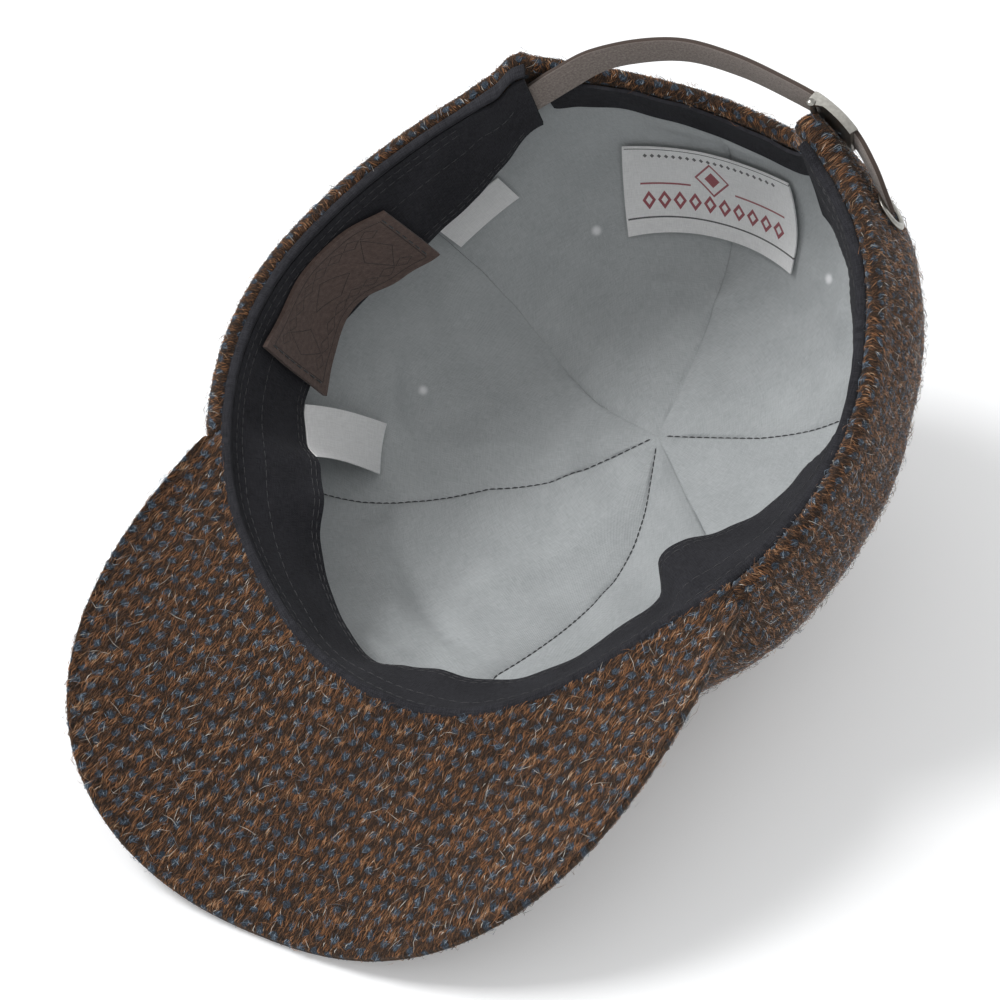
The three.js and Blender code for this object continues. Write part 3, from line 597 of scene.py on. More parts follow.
def woolOn(points, cloth, behind, count, seed, weight=None):
    # each fibre is a bent spindle, open underneath, of four triangles: two ends on the cloth and a
    # ridge between them that stands off it. It runs along the warp, or slantwise in the blue spots,
    # and is placed evenly over the surface. Its colour is one place on the UV map.
    rng = np.random.default_rng(seed)
    down, side = points[1:, :-1] - points[:-1, :-1], points[:-1, 1:] - points[:-1, :-1]
    area = np.linalg.norm(np.cross(down, side), axis=-1)
    area = area if weight is None else area * weight[:-1, :-1]
    cell = rng.choice(area.size, count, p=(area / area.sum()).ravel())
    a, b = cell // area.shape[1], cell % area.shape[1]
    i, j = a + rng.random(count), b + rng.random(count)
    normals = unit(np.cross(np.gradient(points, axis=0), np.gradient(points, axis=1)))
    normals = normals * np.sign(((points - behind) * normals).sum(-1).mean())
    uv = gridAt(cloth, i, j)
    alongI, alongJ = cloth[a + 1, b] - cloth[a, b], cloth[a, b + 1] - cloth[a, b]
    both = alongI[:, 0] * alongJ[:, 1] - alongI[:, 1] * alongJ[:, 0]
    both = np.where(np.abs(both) < 1e-3, 1e9, both)
    blue = latticeAt(uv[:, 0], uv[:, 1]) + rng.normal(0, 0.16, count) > wool["spotFrom"]
    loose = rng.random(count) < wool["looseShare"]
    turn = np.where(loose, 1.1, np.where(blue, 0.7, 0.24)) * rng.normal(size=count) + 0.12
    length = np.where(loose, wool["loose"], np.where(blue, wool["spotFloat"], wool["float"]))
    half = 0.5 * length * rng.uniform(0.6, 1.4, count)
    u, v = half * np.sin(turn), half * np.cos(turn)
    di = np.clip((u * alongJ[:, 1] - v * alongJ[:, 0]) / both, -9, 9)
    dj = np.clip((alongI[:, 0] * v - alongI[:, 1] * u) / both, -9, 9)
    rise = np.where(loose, wool["looseRise"], wool["rise"]) * rng.uniform(0.3, 1.5, count)
    tipRise = np.where(loose, rng.uniform(0, 2.2, count), rng.uniform(-0.1, 0.25, count))
    normal = gridAt(normals, i, j)
    start = gridAt(points, i - di, j - dj) - gridAt(normals, i - di, j - dj) * 0.05
    end = gridAt(points, i + di, j + dj) + gridAt(normals, i + di, j + dj) * tipRise[:, None]
    along = unit(end - start)
    across = unit(np.cross(normal, along))
    bend = 0.12 * half * rng.normal(size=count)
    middle = gridAt(points, i, j) + normal * rise[:, None] + across * bend[:, None]
    radius = 0.5 * np.where(loose, wool["looseWidth"], wool["width"]) * rng.uniform(0.6, 1.3, count)
    corner = np.radians([90, 210, 330])
    ring = middle[:, None] + (across[:, None] * np.cos(corner)[None, :, None]
                              + normal[:, None] * np.sin(corner)[None, :, None]) * radius[:, None, None]
    spindle = np.concatenate([start[:, None], ring, end[:, None]], 1)
    faces = np.array([[0, 2, 1], [0, 1, 3], [4, 1, 2], [4, 3, 1]])
    clump = 0.5 + 0.9 * wobble(uv[:, 0], uv[:, 1] * 0.45, 2.6, 77)
    brown = 0.58 * np.clip(0.55 * rng.random(count) + 0.45 * np.clip(clump, 0, 1) + 0.02, 0, 1)
    tone = np.where(blue, 0.62 + 0.33 * rng.beta(1.5, 1.7, count), brown)
    tone = np.where(rng.random(count) < 0.012 + 0.06 * loose, 1.0, tone)
    shift = (np.arange(count) * 5)[:, None, None]
    place = np.repeat(np.stack([tone, 0 * tone], -1), 5, axis=0)
    return spindle.reshape(-1, 3), (faces[None] + shift).reshape(-1, 3), place


# Cap surfaces

rimTable = {
    "angle": [-156, -141, -126, -109, -92, -76, -60, -44, -30, -14, 0, 12, 22, 32, 43, 54, 70, 89, 114, 132,
              156, 180],
    "radius": [106.2, 101.0, 96.8, 95.8, 97.6, 98.6, 99.4, 101.2, 103.2, 108.0, 111.4, 111.8, 108.2, 102.6,
               97.4, 95.4, 95.4, 96.0, 96.6, 100.2, 104.8, 107.4]}
swellTable = {
    "angle": [-150, -90, -45, 0, 47, 57, 70, 85, 100, 116, 133, 142, 156, 168, 180],
    "swell": [0.04, 0.035, 0.03, 0.015, 0.035, 0.037, 0.026, 0.004, 0.014, 0.049, 0.092, 0.103, 0.07, 0.045,
              0.035]}
archTable = {"angle": [156, 158.5, 161.5, 166, 174, 182, 189, 196.5, 202, 206, 207.5],
             "depth": [0, 13, 23, 26, 24.5, 20.5, 16.5, 9.5, 6.5, 4.5, 0]}
bandTable = {
    "angle": [-153, -141, -125, -100, -78, -67, -60, -51, -42, -33, -23, -13, -6, 2, 20, 36, 49.5, 53.5,
              62, 72, 84, 95, 106, 118, 132, 146, 153],
    "lean": [0, 2.5, 7.7, 7.7, 8.7, 12.7, 18.5, 19.5, 15.7, 12.7, 11.2, 11.2, 16.5, 19.5, 20, 20, 20.5,
             26.5,
             26.5, 22.5, 19, 15, 8.3, 6.3, 5, 1, 0]}
rimRadius = throughRows(rimTable, "radius", True)
crownSwell = throughRows(swellTable, "swell", True)
archDepth = throughRows(archTable, "depth")
bandLean = throughRows(bandTable, "lean")

crown = {"depth": 99, "buttonShift": 31, "outside": 1.2, "inside": 0.9, "hemInside": 4.1, "hemDepth": 9,
         "frontDrop": 6, "seams": [-180, -120, -58, 0, 58, 120, 180], "rollRadius": 2.65,
         "seamDip": 0.6, "seamWidth": 1.3, "unevenness": 0.9}
lining = {"outside": 1.9, "inside": 3.0, "seams": [-180, -122, -58, 2, 52, 114, 180]}
sides = ["back_left", "side_left", "front_left", "front_right", "side_right", "back_right"]
floorNormal = np.array([0, math.sin(capTilt), math.cos(capTilt)])
floorLevel = -capOrigin[2]


def crownPoint(angle, share):
    # superellipse section from rim (0) to button (1), fuller at the sides than in front, swollen
    # below the rim by a half sine wave, its middle carried back as it goes down
    turn = np.radians(90 * share)
    front = np.maximum(np.cos(np.radians(angle)), 0)
    power = 2.9 - 0.55 * front * front
    c, s = np.maximum(np.cos(turn), 1e-9), np.maximum(np.sin(turn), 0)
    reach = (c ** power + s ** power) ** (-1 / power)
    sunk = reach * s
    swell = 1 + crownSwell(angle) * np.sin(np.pi * np.minimum(sunk / 0.8, 1))
    point = outward(angle) * (rimRadius(angle) * reach * c * swell)[..., None]
    point[..., 1] += crown["buttonShift"] * sunk * sunk
    point[..., 2] = -crown["depth"] * sunk
    return point


def crownNormal(angle, share):
    # cross product of two differences: one degree along the rim and 0.02 of the way down
    s = np.clip(share, 0.01, 0.985)
    along = crownPoint(angle + 0.5, s) - crownPoint(angle - 0.5, s)
    down = crownPoint(angle, s + 0.01) - crownPoint(angle, s - 0.01)
    return unit(np.cross(down, along))


def crownLayer(angle, share, inset):
    # a layer of the crown, inset along the normal. What would reach under the floor lies on it,
    # with a rounded change from one to the other.
    angle, share = np.broadcast_arrays(np.asarray(angle, float), np.asarray(share, float))
    point = crownPoint(angle, share) - crownNormal(angle, share) * np.asarray(inset)[..., None]
    below = floorLevel + inset + crown["outside"] - point @ floorNormal
    lift = 0.5 * (below + np.sqrt(below * below + 2.0))
    return point + floorNormal * np.where(below > -12, lift, 0)[..., None]


def shareAtDepth(depth):
    # how far down a depth in mm lies: the angle whose tangent is depth over crown depth
    return np.degrees(np.arctan(np.asarray(depth, float) / crown["depth"])) / 90


def archShare(angle):
    # the cut edge's share of the way down inside the arch, 0 outside it
    turned = np.asarray(angle, float) % 360
    inside = (turned > archTable["angle"][0]) & (turned < archTable["angle"][-1])
    return np.where(inside, shareAtDepth(np.maximum(archDepth(turned), 0)), 0)


def seamDistance(angle, share, seams, reach=100.0):
    # mm along the cloth to the nearest seam
    nearest = np.min([np.abs(angle - seam) for seam in seams], axis=0)
    return np.radians(nearest) * reach * np.maximum(1 - share ** 3, 0.06)


def crownRelief(angle, share):
    # soft dents of the crown cloth, mm outwards
    a = np.radians(angle)
    x, y = np.sin(a) * (1 - share) * 130, -np.cos(a) * (1 - share) * 130
    return crown["unevenness"] * wobble(x, y, 38, 3) + 0.35 * wobble(x, y, 15, 4)


def cornerRise(angle):
    # the crown's rim rises to a corner beside each end of the arch and drops again inside it
    left = 3.0 * smooth(-angle, 138, 149) + 4.2 * smooth(-angle, 146.5, 151)
    right = 4.4 * smooth(angle, 147, 154)
    return left * (1 - smooth(-angle, 153, 163)) + right * (1 - smooth(angle, 156, 161))


def buckleBulge(angle):
    # the crown's cloth presses against the buckle: mm outwards beside the arch
    return 2.6 * smooth(angle, 134, 150) * (1 - smooth(angle, 156, 160))


def crownPanel(start, end):
    # columns run from rim to button. The first rows go over the rim's roll, a half circle held on
    # the cut edge by the edge's own direction, outwards and inwards; the rest follow the crown.
    angle = np.linspace(start, end, 62)
    for low, high in ((155.6, 162.5), (-156, -150), (58, 62.5), (-62.5, -58)):
        dense = np.linspace(low, high, 18)
        angle = np.concatenate([angle, dense[(dense > start) & (dense < end)]])
    angle = np.unique(angle)
    beside = crown["frontDrop"] * (1 - smooth(np.abs(angle), 58, 62))
    top = np.maximum(archShare(angle), shareAtDepth(beside))
    inner = np.clip(angle, start + 0.04, end - 0.04)
    edge = crownLayer(inner, top, 0.0 * inner)
    along = unit(np.gradient(edge, axis=0))
    normal = crownNormal(inner, np.maximum(top, 0.01))
    up = unit(np.cross(normal, along))
    r, turn = crown["rollRadius"], np.radians(np.linspace(90, 0, 8))
    middle = crown["hemInside"] / 2 - crown["outside"] / 2
    depth = np.array([1.6, 2.8, 4.4, 6, 7.6, 8.8, 9.6, 12, 14.5])
    rows = np.concatenate([shareAtDepth(depth), np.linspace(0.12, 0.958, 50)])
    share = top[:, None] + (1 - top[:, None]) * rows[None]
    wide = np.broadcast_to(inner[:, None], share.shape)
    seams = seamDistance(wide, share, crown["seams"])
    dip = crown["seamDip"] * np.exp(-(seams / crown["seamWidth"]) ** 2)
    relief = crownRelief(wide, share) * smooth(rows, 0.02, 0.14)[None]
    under = smooth(crownPoint(wide, share) @ floorNormal - floorLevel, 2, 14)
    fuller = buckleBulge(inner)[:, None] * (1 - smooth(rows, 0.04, 0.26))[None]
    outside = crownLayer(wide, share, -crown["outside"] - (relief - dip) * under - fuller)
    hem = 1 - smooth(rows, shareAtDepth(crown["hemDepth"]), shareAtDepth(crown["hemDepth"] + 1))
    hemStep = (crown["hemInside"] - crown["inside"]) * hem[None]
    insetIn = crown["inside"] + hemStep - relief * under * (1 - hem)
    inside = crownLayer(wide, share, insetIn)
    raised = cornerRise(inner)[:, None] * (1 - smooth(rows, 0.0, 0.16))[None]
    outside[..., 2] += raised
    inside[..., 2] += raised

    def roll(sign):
        # sign 1 is the outer half of the roll, -1 the inner half
        waver = 0.3 * wobble(inner * 1.7, inner * 0, 14, 9)
        wideRoll = r + (buckleBulge(inner)[:, None] if sign > 0 else 0.0)
        offset = middle - sign * wideRoll * np.cos(turn)[None]
        rise = (r * np.sin(turn) - r + 1.2)[None] + waver[:, None] * np.sin(turn)[None]
        pinch = 0.35 * np.exp(-(seamDistance(inner, 0 * inner, crown["seams"]) / 1.4) ** 2)
        rise = rise - pinch[:, None] * np.sin(turn)[None]
        ring = edge[:, None] - normal[:, None] * offset[..., None] + up[:, None] * rise[..., None]
        ring[..., 2] += cornerRise(inner)[:, None]
        return ring

    outer, inward = roll(1), roll(-1)
    outside = np.concatenate([outer, outside], 1)
    inside = np.concatenate([inward, inside], 1)
    lengths = np.linalg.norm(np.diff(outside, axis=1), axis=-1).mean(0)
    v = np.concatenate([[0], np.cumsum(lengths)])
    flat = outside - np.array([0, 1, 0]) * (crown["buttonShift"] * (outside[..., 2:] / crown["depth"]) ** 2)
    radius = np.linalg.norm(flat[..., :2], axis=-1).mean(0)
    u = np.radians(inner - (start + end) / 2)[:, None] * radius[None] + start * 1.3
    cloth = np.stack([u, np.broadcast_to(v, u.shape) + start * 0.7], -1)
    clothIn = np.stack([u, start * 0.7 - np.broadcast_to(v, u.shape)], -1)
    over = np.concatenate([inward[:, :0:-1], outside], 1)
    overCloth = np.concatenate([clothIn[:, len(turn) - 1:0:-1], cloth], 1)
    return wallParts(outside, inside, cloth, clothIn), over, overCloth


hairCount = [10500, 14000, 12500, 14500, 17500, 16500]
for k, (side, start, end) in enumerate(zip(sides, crown["seams"][:-1], crown["seams"][1:])):
    panel, over, overCloth = crownPanel(start, end)
    addPiece("tweed_" + side, panel, tweed, "tweed", "crown_panel_" + side)
    weight = np.broadcast_to(1 - 0.75 * smooth(np.linspace(0, 1, over.shape[1]), 0.35, 0.75),
                             over.shape[:2])
    hair = woolOn(over, overCloth, np.array([0, 10, -40.0]), hairCount[k], 100 + k, weight)
    addPiece("wool_" + side, hair, fuzz, "tweed", sharp=False)
print("crown panels made")


# Lining

# folds in the lining: ends of each ridge line (angle, share), its half width and height in mm
liningFolds = [
    ((-96, 0.42), (-74, 0.50), 4.5, 1.9), ((-93, 0.47), (-73, 0.55), 5, -1.4),
    ((-47, 0.45), (-17, 0.41), 7, 3.2), ((-40, 0.49), (-5, 0.464), 2.8, -2.2),
    ((-24, 0.33), (-14, 0.37), 6, 2.6), ((-53, 0.765), (-95, 0.78), 5, -1.6),
    ((-41, 0.823), (-93, 0.852), 4, 1.0), ((-154, 0.665), (-171, 0.683), 3, 1.5),
    ((-176, 0.733), (-189, 0.653), 3.5, 2.0), ((126, 0.708), (162, 0.83), 10, -2.6),
    ((153, 0.383), (137, 0.551), 5, 2.8), ((-168, 0.231), (-190, 0.28), 4.5, 2.4),
    ((-101, 0.431), (-111, 0.54), 3.5, -1.5), ((-61, 0.49), (-51, 0.41), 6, -2.4),
    ((-121, 0.311), (-110, 0.44), 6, -2.0), ((20, 0.45), (34, 0.70), 5, 1.6), ((70, 0.5), (86, 0.75), 6,
                                                                               1.6),
    ((-22, 0.55), (-8, 0.78), 6, 1.6), ((-70, 0.6), (-64, 0.8), 5, 1.3), ((-132, 0.45), (-150, 0.62), 6,
                                                                          1.6)]
# how far each seam wanders sideways (degrees) on its way to the button
seamWander = {"share": [0, 0.35, 0.45, 0.56, 0.67, 0.78, 0.85, 1],
              "turns": [[0] * 8, [0, 0.3, 1, 3.5, 8, 15, 20, 20], [0, -1.6, 2, 5, 6.2, 13, 14, 14],
                        [0, -0.5, -0.8, 4.3, 9, 13.5, 15, 15], [0, 0, 0, 0, -1.2, -3.3, -4, -4],
                        [0, 0, 0, 0.3, -4, -7.3, -7.7, -7.7], [0] * 8]}


def wander(angle, share):
    # each seam's sideways shift, shared out between neighbouring seams by tent functions
    seams = np.array(lining["seams"], float)
    total = np.zeros(np.broadcast(angle, share).shape)
    for k, seam in enumerate(seams):
        before, after = seams[k - 1] if k else seam - 1, seams[k + 1] if k + 1 < len(seams) else seam + 1
        tent = np.minimum((angle - before) / (seam - before), (after - angle) / (after - seam))
        total += np.clip(tent, 0, 1) * np.interp(share, seamWander["share"], seamWander["turns"][k])
    return angle + total


def liningLift(angle, share):
    # height of the lining over its plain form: folds (bell curves about their lines, fading at
    # the ends), panels puffed up beside their seams, and soft ripples
    wide = wander(angle, share)
    base = crownLayer(wide, share, np.full(share.shape, lining["inside"]))
    total = np.zeros(share.shape)
    t = np.linspace(0, 1, 12)
    fade = np.sin(np.pi * np.clip(t, 0.05, 0.95)) ** 0.5
    for start, end, width, height in liningFolds:
        line = crownLayer(start[0] + (end[0] - start[0]) * t, start[1] + (end[1] - start[1]) * t,
                          np.full(12, lining["inside"]))
        away = np.linalg.norm(base[..., None, :] - line, axis=-1)
        total += height * (np.exp(-(away / width) ** 2) * fade).max(-1)
    seams = seamDistance(angle, share, lining["seams"])
    total += 0.9 * (1 - np.exp(-(seams / 6.0) ** 2)) - 0.8 * np.exp(-(seams / 0.9) ** 2)
    x, y = base[..., 0], base[..., 1]
    total += 1.0 * wobble(x, y, 32, 11) + 0.4 * wobble(x, y, 13, 12)
    return wide, total * smooth(1 - share, 0.0, 0.1)


def liningPanel(start, end):
    angle = np.linspace(start, end, 58)
    beside = 1 - smooth(np.abs(angle), 58, 64)
    top = np.maximum(archShare(angle), shareAtDepth(crown["frontDrop"]) * beside)
    rows = np.concatenate([np.linspace(0.07, 0.9, 70), np.linspace(0.91, 0.9995, 9)])
    share = top[:, None] + (1 - top[:, None]) * rows[None]
    held = np.broadcast_to(np.clip(angle, start + 0.03, end - 0.03)[:, None], share.shape)
    wide, lift = liningLift(held, share)
    inside = crownLayer(wide, share, lining["inside"] + np.maximum(lift, -0.6))
    outside = crownLayer(wide, share, lining["outside"] + 0.8 * np.maximum(lift, 0))
    flatY = inside[..., 1] - crown["buttonShift"] * (inside[..., 2] / crown["depth"]) ** 2
    u = np.radians(held - (start + end) / 2) * np.hypot(inside[..., 0], flatY)
    cloth = np.stack([u, share * 150 + start], -1)
    return wallParts(inside, outside, cloth)


eyelets = [(-86, 0.52), (-147, 0.506), (151, 0.495)]
liningStyle["glow"] = [tuple(toRow(crownLayer(np.array(a), np.array(s), np.array(4.0)))) for a,
                       s in eyelets]
liningCloth = wovenMaterial("lining_cloth", weaveGroup, liningStyle)
for side, start, end in zip(sides, lining["seams"][:-1], lining["seams"][1:]):
    addPiece("lining_" + side, liningPanel(start, end), liningCloth, "lining", "lining_panel_" + side)
seamThreads = []
for seam, ends in ((-58, (0.30, 0.985)), (2, (0.36, 0.985)), (114, (0.42, 0.985))):
    share = np.linspace(*ends, 400)
    wide, lift = liningLift(np.full(400, float(seam)), share)
    path = crownLayer(wide, share, lining["inside"] + np.maximum(lift, -0.6) + 0.2)
    seamThreads.append(stitchesOn(path, -crownNormal(wide, share), 1.9, 0.45, 0.2))
addPiece("lining_seam_thread", joinParts(*seamThreads), darkThread, "lining", sharp=False)
print("lining made")


# Sweatband, its piping and the arch binding

band = {"width": 31, "thickness": 1.2, "top": 4.9, "drop": 2.2, "from": -152.5, "to": 153, "strapRoom": 2.5,
        "pipingRadius": 1.0, "pipingInset": 5.5, "pipingDrop": 0.4, "tape": 14}


def bandPoint(angle, share, depth):
    # section from the top edge down and in to the free edge; depth 0 is the side next to the crown
    angle, share = np.broadcast_arrays(np.asarray(angle, float), np.asarray(share, float))
    lean = bandLean(angle)
    atEnd = smooth(-angle, 136, 152.5)
    drop = np.sqrt(band["width"] ** 2 - lean ** 2) * (1 - 0.5 * atEnd)
    room = band["strapRoom"] * smooth(-angle, 140, 146)
    crease = 0.5 * wobble(angle * 1.6, share * 20, 16, 21) * np.sin(np.pi * np.clip(share, 0, 1))
    ripple = 0.8 * wobble(angle * 1.6, share * 0, 22, 22) * share ** 3
    inset = band["top"] + room + depth + lean * share ** 1.15 + crease + ripple
    point = outward(angle) * (rimRadius(angle) - inset)[..., None]
    waver = 0.7 * wobble(angle * 1.6, share * 0, 26, 23) * share ** 4
    point[..., 2] = -band["drop"] - drop * share + waver + cornerRise(angle) * (1 - share)
    return point


def sweatband():
    # a wall between the band's two faces
    angle = np.linspace(band["from"], band["to"], 340)[:, None]
    share = np.linspace(0, 1, 22)[None]
    inside, outside = bandPoint(angle, share, band["thickness"]), bandPoint(angle, share, 0)
    cloth = np.stack(np.broadcast_arrays(angle * 1.7, share * band["width"]), -1)
    return wallParts(inside, outside, cloth)


def bandPiping():
    # a rounded black edge between band and roll; it widens over the sewn-in end of the strap
    angle = np.linspace(-152.8, band["to"], 330)[:, None]
    turn = np.linspace(0, 2 * np.pi, 14, endpoint=False)[None]
    uneven = 1 + 0.08 * wobble(angle * 1.7, angle * 0, 9, 31)
    wide = 1.7 + 0.75 * smooth(-angle, 139, 147)
    ring = outward(angle) * (rimRadius(angle) - 3.25 - wide + wide * uneven * np.cos(turn))[..., None]
    ring[..., 2] = -0.6 + cornerRise(angle) + 1.1 * uneven * np.sin(turn)
    cloth = np.stack(np.broadcast_arrays(angle * 1.7, turn), -1)
    return tubeParts(ring, cloth)


def archBinding():
    angle = np.linspace(157.5, 206.5, 110)[:, None]
    row = np.linspace(0, 1, 16)[None]
    share = archShare(angle) + shareAtDepth(1) + shareAtDepth(band["tape"]) * row
    uneven = 0.3 * wobble(angle * 1.7, row * 14, 12, 33)
    near = crownLayer(angle, share, crown["hemInside"] + 0.6 + uneven)
    far = crownLayer(angle, share, crown["hemInside"] + 1.7 + uneven)
    cloth = np.stack(np.broadcast_arrays(angle * 1.8, row * band["tape"]), -1)
    return wallParts(far, near, cloth)


bandThreads = []
for share in (0.07, 0.15, 0.40, 0.90, 0.95):
    angle = np.linspace(-138 if share < 0.3 else -149, 151, 1500)
    row = share + 0.006 * wobble(angle * 1.7, angle * 0, 30, int(100 * share))
    path = bandPoint(angle, row, band["thickness"] + 0.06)
    lean = bandPoint(angle, row + 0.02, 0) - bandPoint(angle, row - 0.02, 0)
    lift = unit(np.cross(np.gradient(path, axis=0), lean))
    lift = lift * np.sign(-(lift * outward(angle)).sum(-1, keepdims=True))
    bandThreads.append(stitchesOn(path, lift, 2.5, 0.9, 0.12))
addPiece("sweatband_stitches", joinParts(*bandThreads), greyThread, "black_cotton", sharp=False)
addPiece("sweatband_cloth", sweatband(), blackCotton, "black_cotton", "sweatband")
addPiece("sweatband_piping", bandPiping(), blackCotton, "black_cotton", "band_piping")
addPiece("arch_tape", archBinding(), blackCotton, "black_cotton", "arch_binding")
print("sweatband, piping and tape made")


# Peak

peak = {"cornerAngle": 62, "cornerX": 86, "cornerY": -46.5, "tip": -179.2, "spreadLeft": 22,
        "spreadRight": 14,
        "squareAcross": 0.83, "squareAlong": 0.85, "sideRise": 17, "rootInset": 4.25, "cloth": 1.9, "gap": 0.3,
        "grooveFromEdge": 4.6, "groove": 0.6}


def peakEdge(turn):
    # half of a superellipse from the left corner (-1) past the tip (0) to the right one (1)
    sine = np.sin(np.radians(90 * turn))
    cosine = np.maximum(np.cos(np.radians(90 * turn)), 0)
    spread = np.where(turn < 0, peak["spreadLeft"], peak["spreadRight"])
    x = (peak["cornerX"] + spread * cosine) * np.sign(sine) * np.abs(sine) ** peak["squareAcross"]
    y = peak["cornerY"] + (peak["tip"] - peak["cornerY"]) * cosine ** peak["squareAlong"]
    return np.stack([x, y, peak["sideRise"] * (x / 80) ** 2 * np.sqrt(cosine)], -1)


def peakRoot(turn):
    # just inside the rim, turned evenly between the peak's corners
    angle = peak["cornerAngle"] * turn
    return outward(angle) * (rimRadius(angle) - peak["rootInset"])[..., None]


def peakPoint(turn, share, depth):
    # straight from root to edge, sagging by a half sine wave, depth mm under the top face
    turn, share = np.broadcast_arrays(turn, share)
    root, edge = peakRoot(turn), peakEdge(turn)
    point = root + (edge - root) * share[..., None]
    point[..., 2] -= depth + 1.2 * np.sin(np.pi * share)
    return point


def peakCloth(upSide):
    # a flat cloth whose last row rounds over the edge; upSide is the cloth that lies uppermost here
    turn = (np.sin(np.radians(np.linspace(-90, 90, 120))) * 0.985)[:, None]
    share = np.concatenate([np.linspace(0, 0.9, 36), np.linspace(0.91, 1, 16)])[None]
    flat = peakPoint(turn, share, 0)
    toEdge = np.linalg.norm(flat - peakEdge(turn[:, 0])[:, None], axis=-1)
    groove = peak["groove"] * np.exp(-((toEdge - peak["grooveFromEdge"]) / 0.9) ** 2)
    roundOver = 0.95 * (1 - np.sqrt(np.clip(1 - (1 - np.clip(toEdge / 1.4, 0, 1)) ** 2, 0, 1)))
    x, y = flat[..., 0], flat[..., 1]
    uneven = 0.35 * wobble(x, y, 30, 41) + 0.12 * wobble(x, y, 9, 42)
    relief = (groove - uneven * smooth(toEdge, 0, 8)) * smooth(share, 0.02, 0.1) + roundOver
    t, g = peak["cloth"], peak["gap"]
    if upSide:
        outer, inner = peakPoint(turn, share, relief), peakPoint(turn, share, t + 0 * relief)
    else:
        outer, inner = peakPoint(turn, share, 2 * t + g - relief), peakPoint(turn, share,
                                                                             t + g + 0 * relief)
    return wallParts(outer, inner, flat[..., :2]), outer, flat[..., :2]


for name, upSide, count in (("under", True, 31500), ("upper", False, 13000)):
    parts, outer, outerCloth = peakCloth(upSide)
    addPiece("peak_" + name + "_cloth", parts, tweed, "tweed", "peak_" + name)
    behind = np.array([0, -120.0, -200 if upSide else 200])
    hair = woolOn(outer, outerCloth, behind, count, 120 + upSide)
    addPiece("wool_peak_" + name, hair, fuzz, "tweed", sharp=False)
print("peak made")


# Strap, buckle and grommet

strap = {"width": 10.6, "thickness": 1.6, "tailWidth": 6, "taperFrom": 0.87, "clipFrom": 0.735,
         "clipTo": 0.845}
strapTable = {
    "angle": [-147, -153, -159, -164, -170, -178, -187, -196, -205, -211, -216, -219, -220.5],
    "radius": [96.8, 99.3, 101.0, 104.2, 108.0, 111.2, 111.4, 111.2, 112.2, 112.3, 111.2, 110.4, 110.2],
    "height": [-9, -6, -1, 1.5, 1.5, 1.5, 1.5, 2, 2.6, 1.6, -2, -7, -12]}


def curveThrough(points, count):
    # centripetal curve through points (each stretch blended from its four nearest points), then
    # read off at equal distances
    p = np.vstack([2 * points[0] - points[1], points, 2 * points[-1] - points[-2]])
    knot = np.concatenate([[0], np.cumsum(np.linalg.norm(np.diff(p, axis=0), axis=1) ** 0.5)])
    t = np.linspace(knot[1], knot[-2], 4000)
    i = np.clip(np.searchsorted(knot, t, side="right") - 1, 1, len(p) - 3)

    def mixed(a, b, low, high):
        w = ((t - knot[low]) / (knot[high] - knot[low]))[:, None]
        return a * (1 - w) + b * w
    first = [mixed(p[i + k - 1], p[i + k], i + k - 1, i + k) for k in range(3)]
    second = [mixed(first[k], first[k + 1], i + k - 1, i + k + 1) for k in range(2)]
    dense = mixed(second[0], second[1], i, i + 1)
    run = np.concatenate([[0], np.cumsum(np.linalg.norm(np.diff(dense, axis=0), axis=1))])
    at = np.linspace(0, run[-1], count)
    return np.stack([np.interp(at, run, dense[:, k]) for k in range(3)], -1), run[-1]


def strapFrames(count=801):
    # the middle line and the directions along it, away from the cap and across it
    rows = outward(np.array(strapTable["angle"], float)) * np.array(strapTable["radius"])[:, None]
    rows[:, 2] = strapTable["height"]
    place, length = curveThrough(rows, count)
    along = unit(np.gradient(place, axis=0))
    radial = unit(place * np.array([1, 1, 0]))
    across = unit(np.cross(radial, along))
    across = across * np.sign(across[:, 2:])
    out = unit(np.cross(along, across))
    out = out * np.sign((out * radial).sum(-1, keepdims=True))
    return place, along, out, across, length


strapLine = strapFrames()


def onStrap(share, out, across):
    # places at shares of the strap's length, off its middle line outwards and across its width
    share, out, across = np.broadcast_arrays(share, out, across)
    place, _, outDir, acrossDir, _ = strapLine
    at = share * (len(place) - 1)
    i = np.clip(at.astype(int), 0, len(place) - 2)
    w = (at - i)[..., None]

    def pick(rows):
        return rows[i] * (1 - w) + rows[i + 1] * w

    return pick(place) + pick(outDir) * out[..., None] + pick(acrossDir) * across[..., None]


def roundedSection(width, thickness, radius, steps=4):
    # a rectangle with quarter-circle corners, starting at the middle of its outer long side
    corner = np.linspace(0, np.pi / 2, steps)
    a, b = width / 2 - radius, thickness / 2 - radius
    xs, ys = [np.array([0.0])], [np.array([thickness / 2])]
    for k, (sx, sy) in enumerate([(1, 1), (1, -1), (-1, -1), (-1, 1)]):
        turn = np.pi / 2 - corner - k * np.pi / 2
        xs.append(sx * a + radius * np.cos(turn))
        ys.append(sy * b + radius * np.sin(turn))
        if k == 1:
            xs.append(np.array([0.0]))
            ys.append(np.array([-thickness / 2]))
    return np.concatenate(xs), np.concatenate(ys)


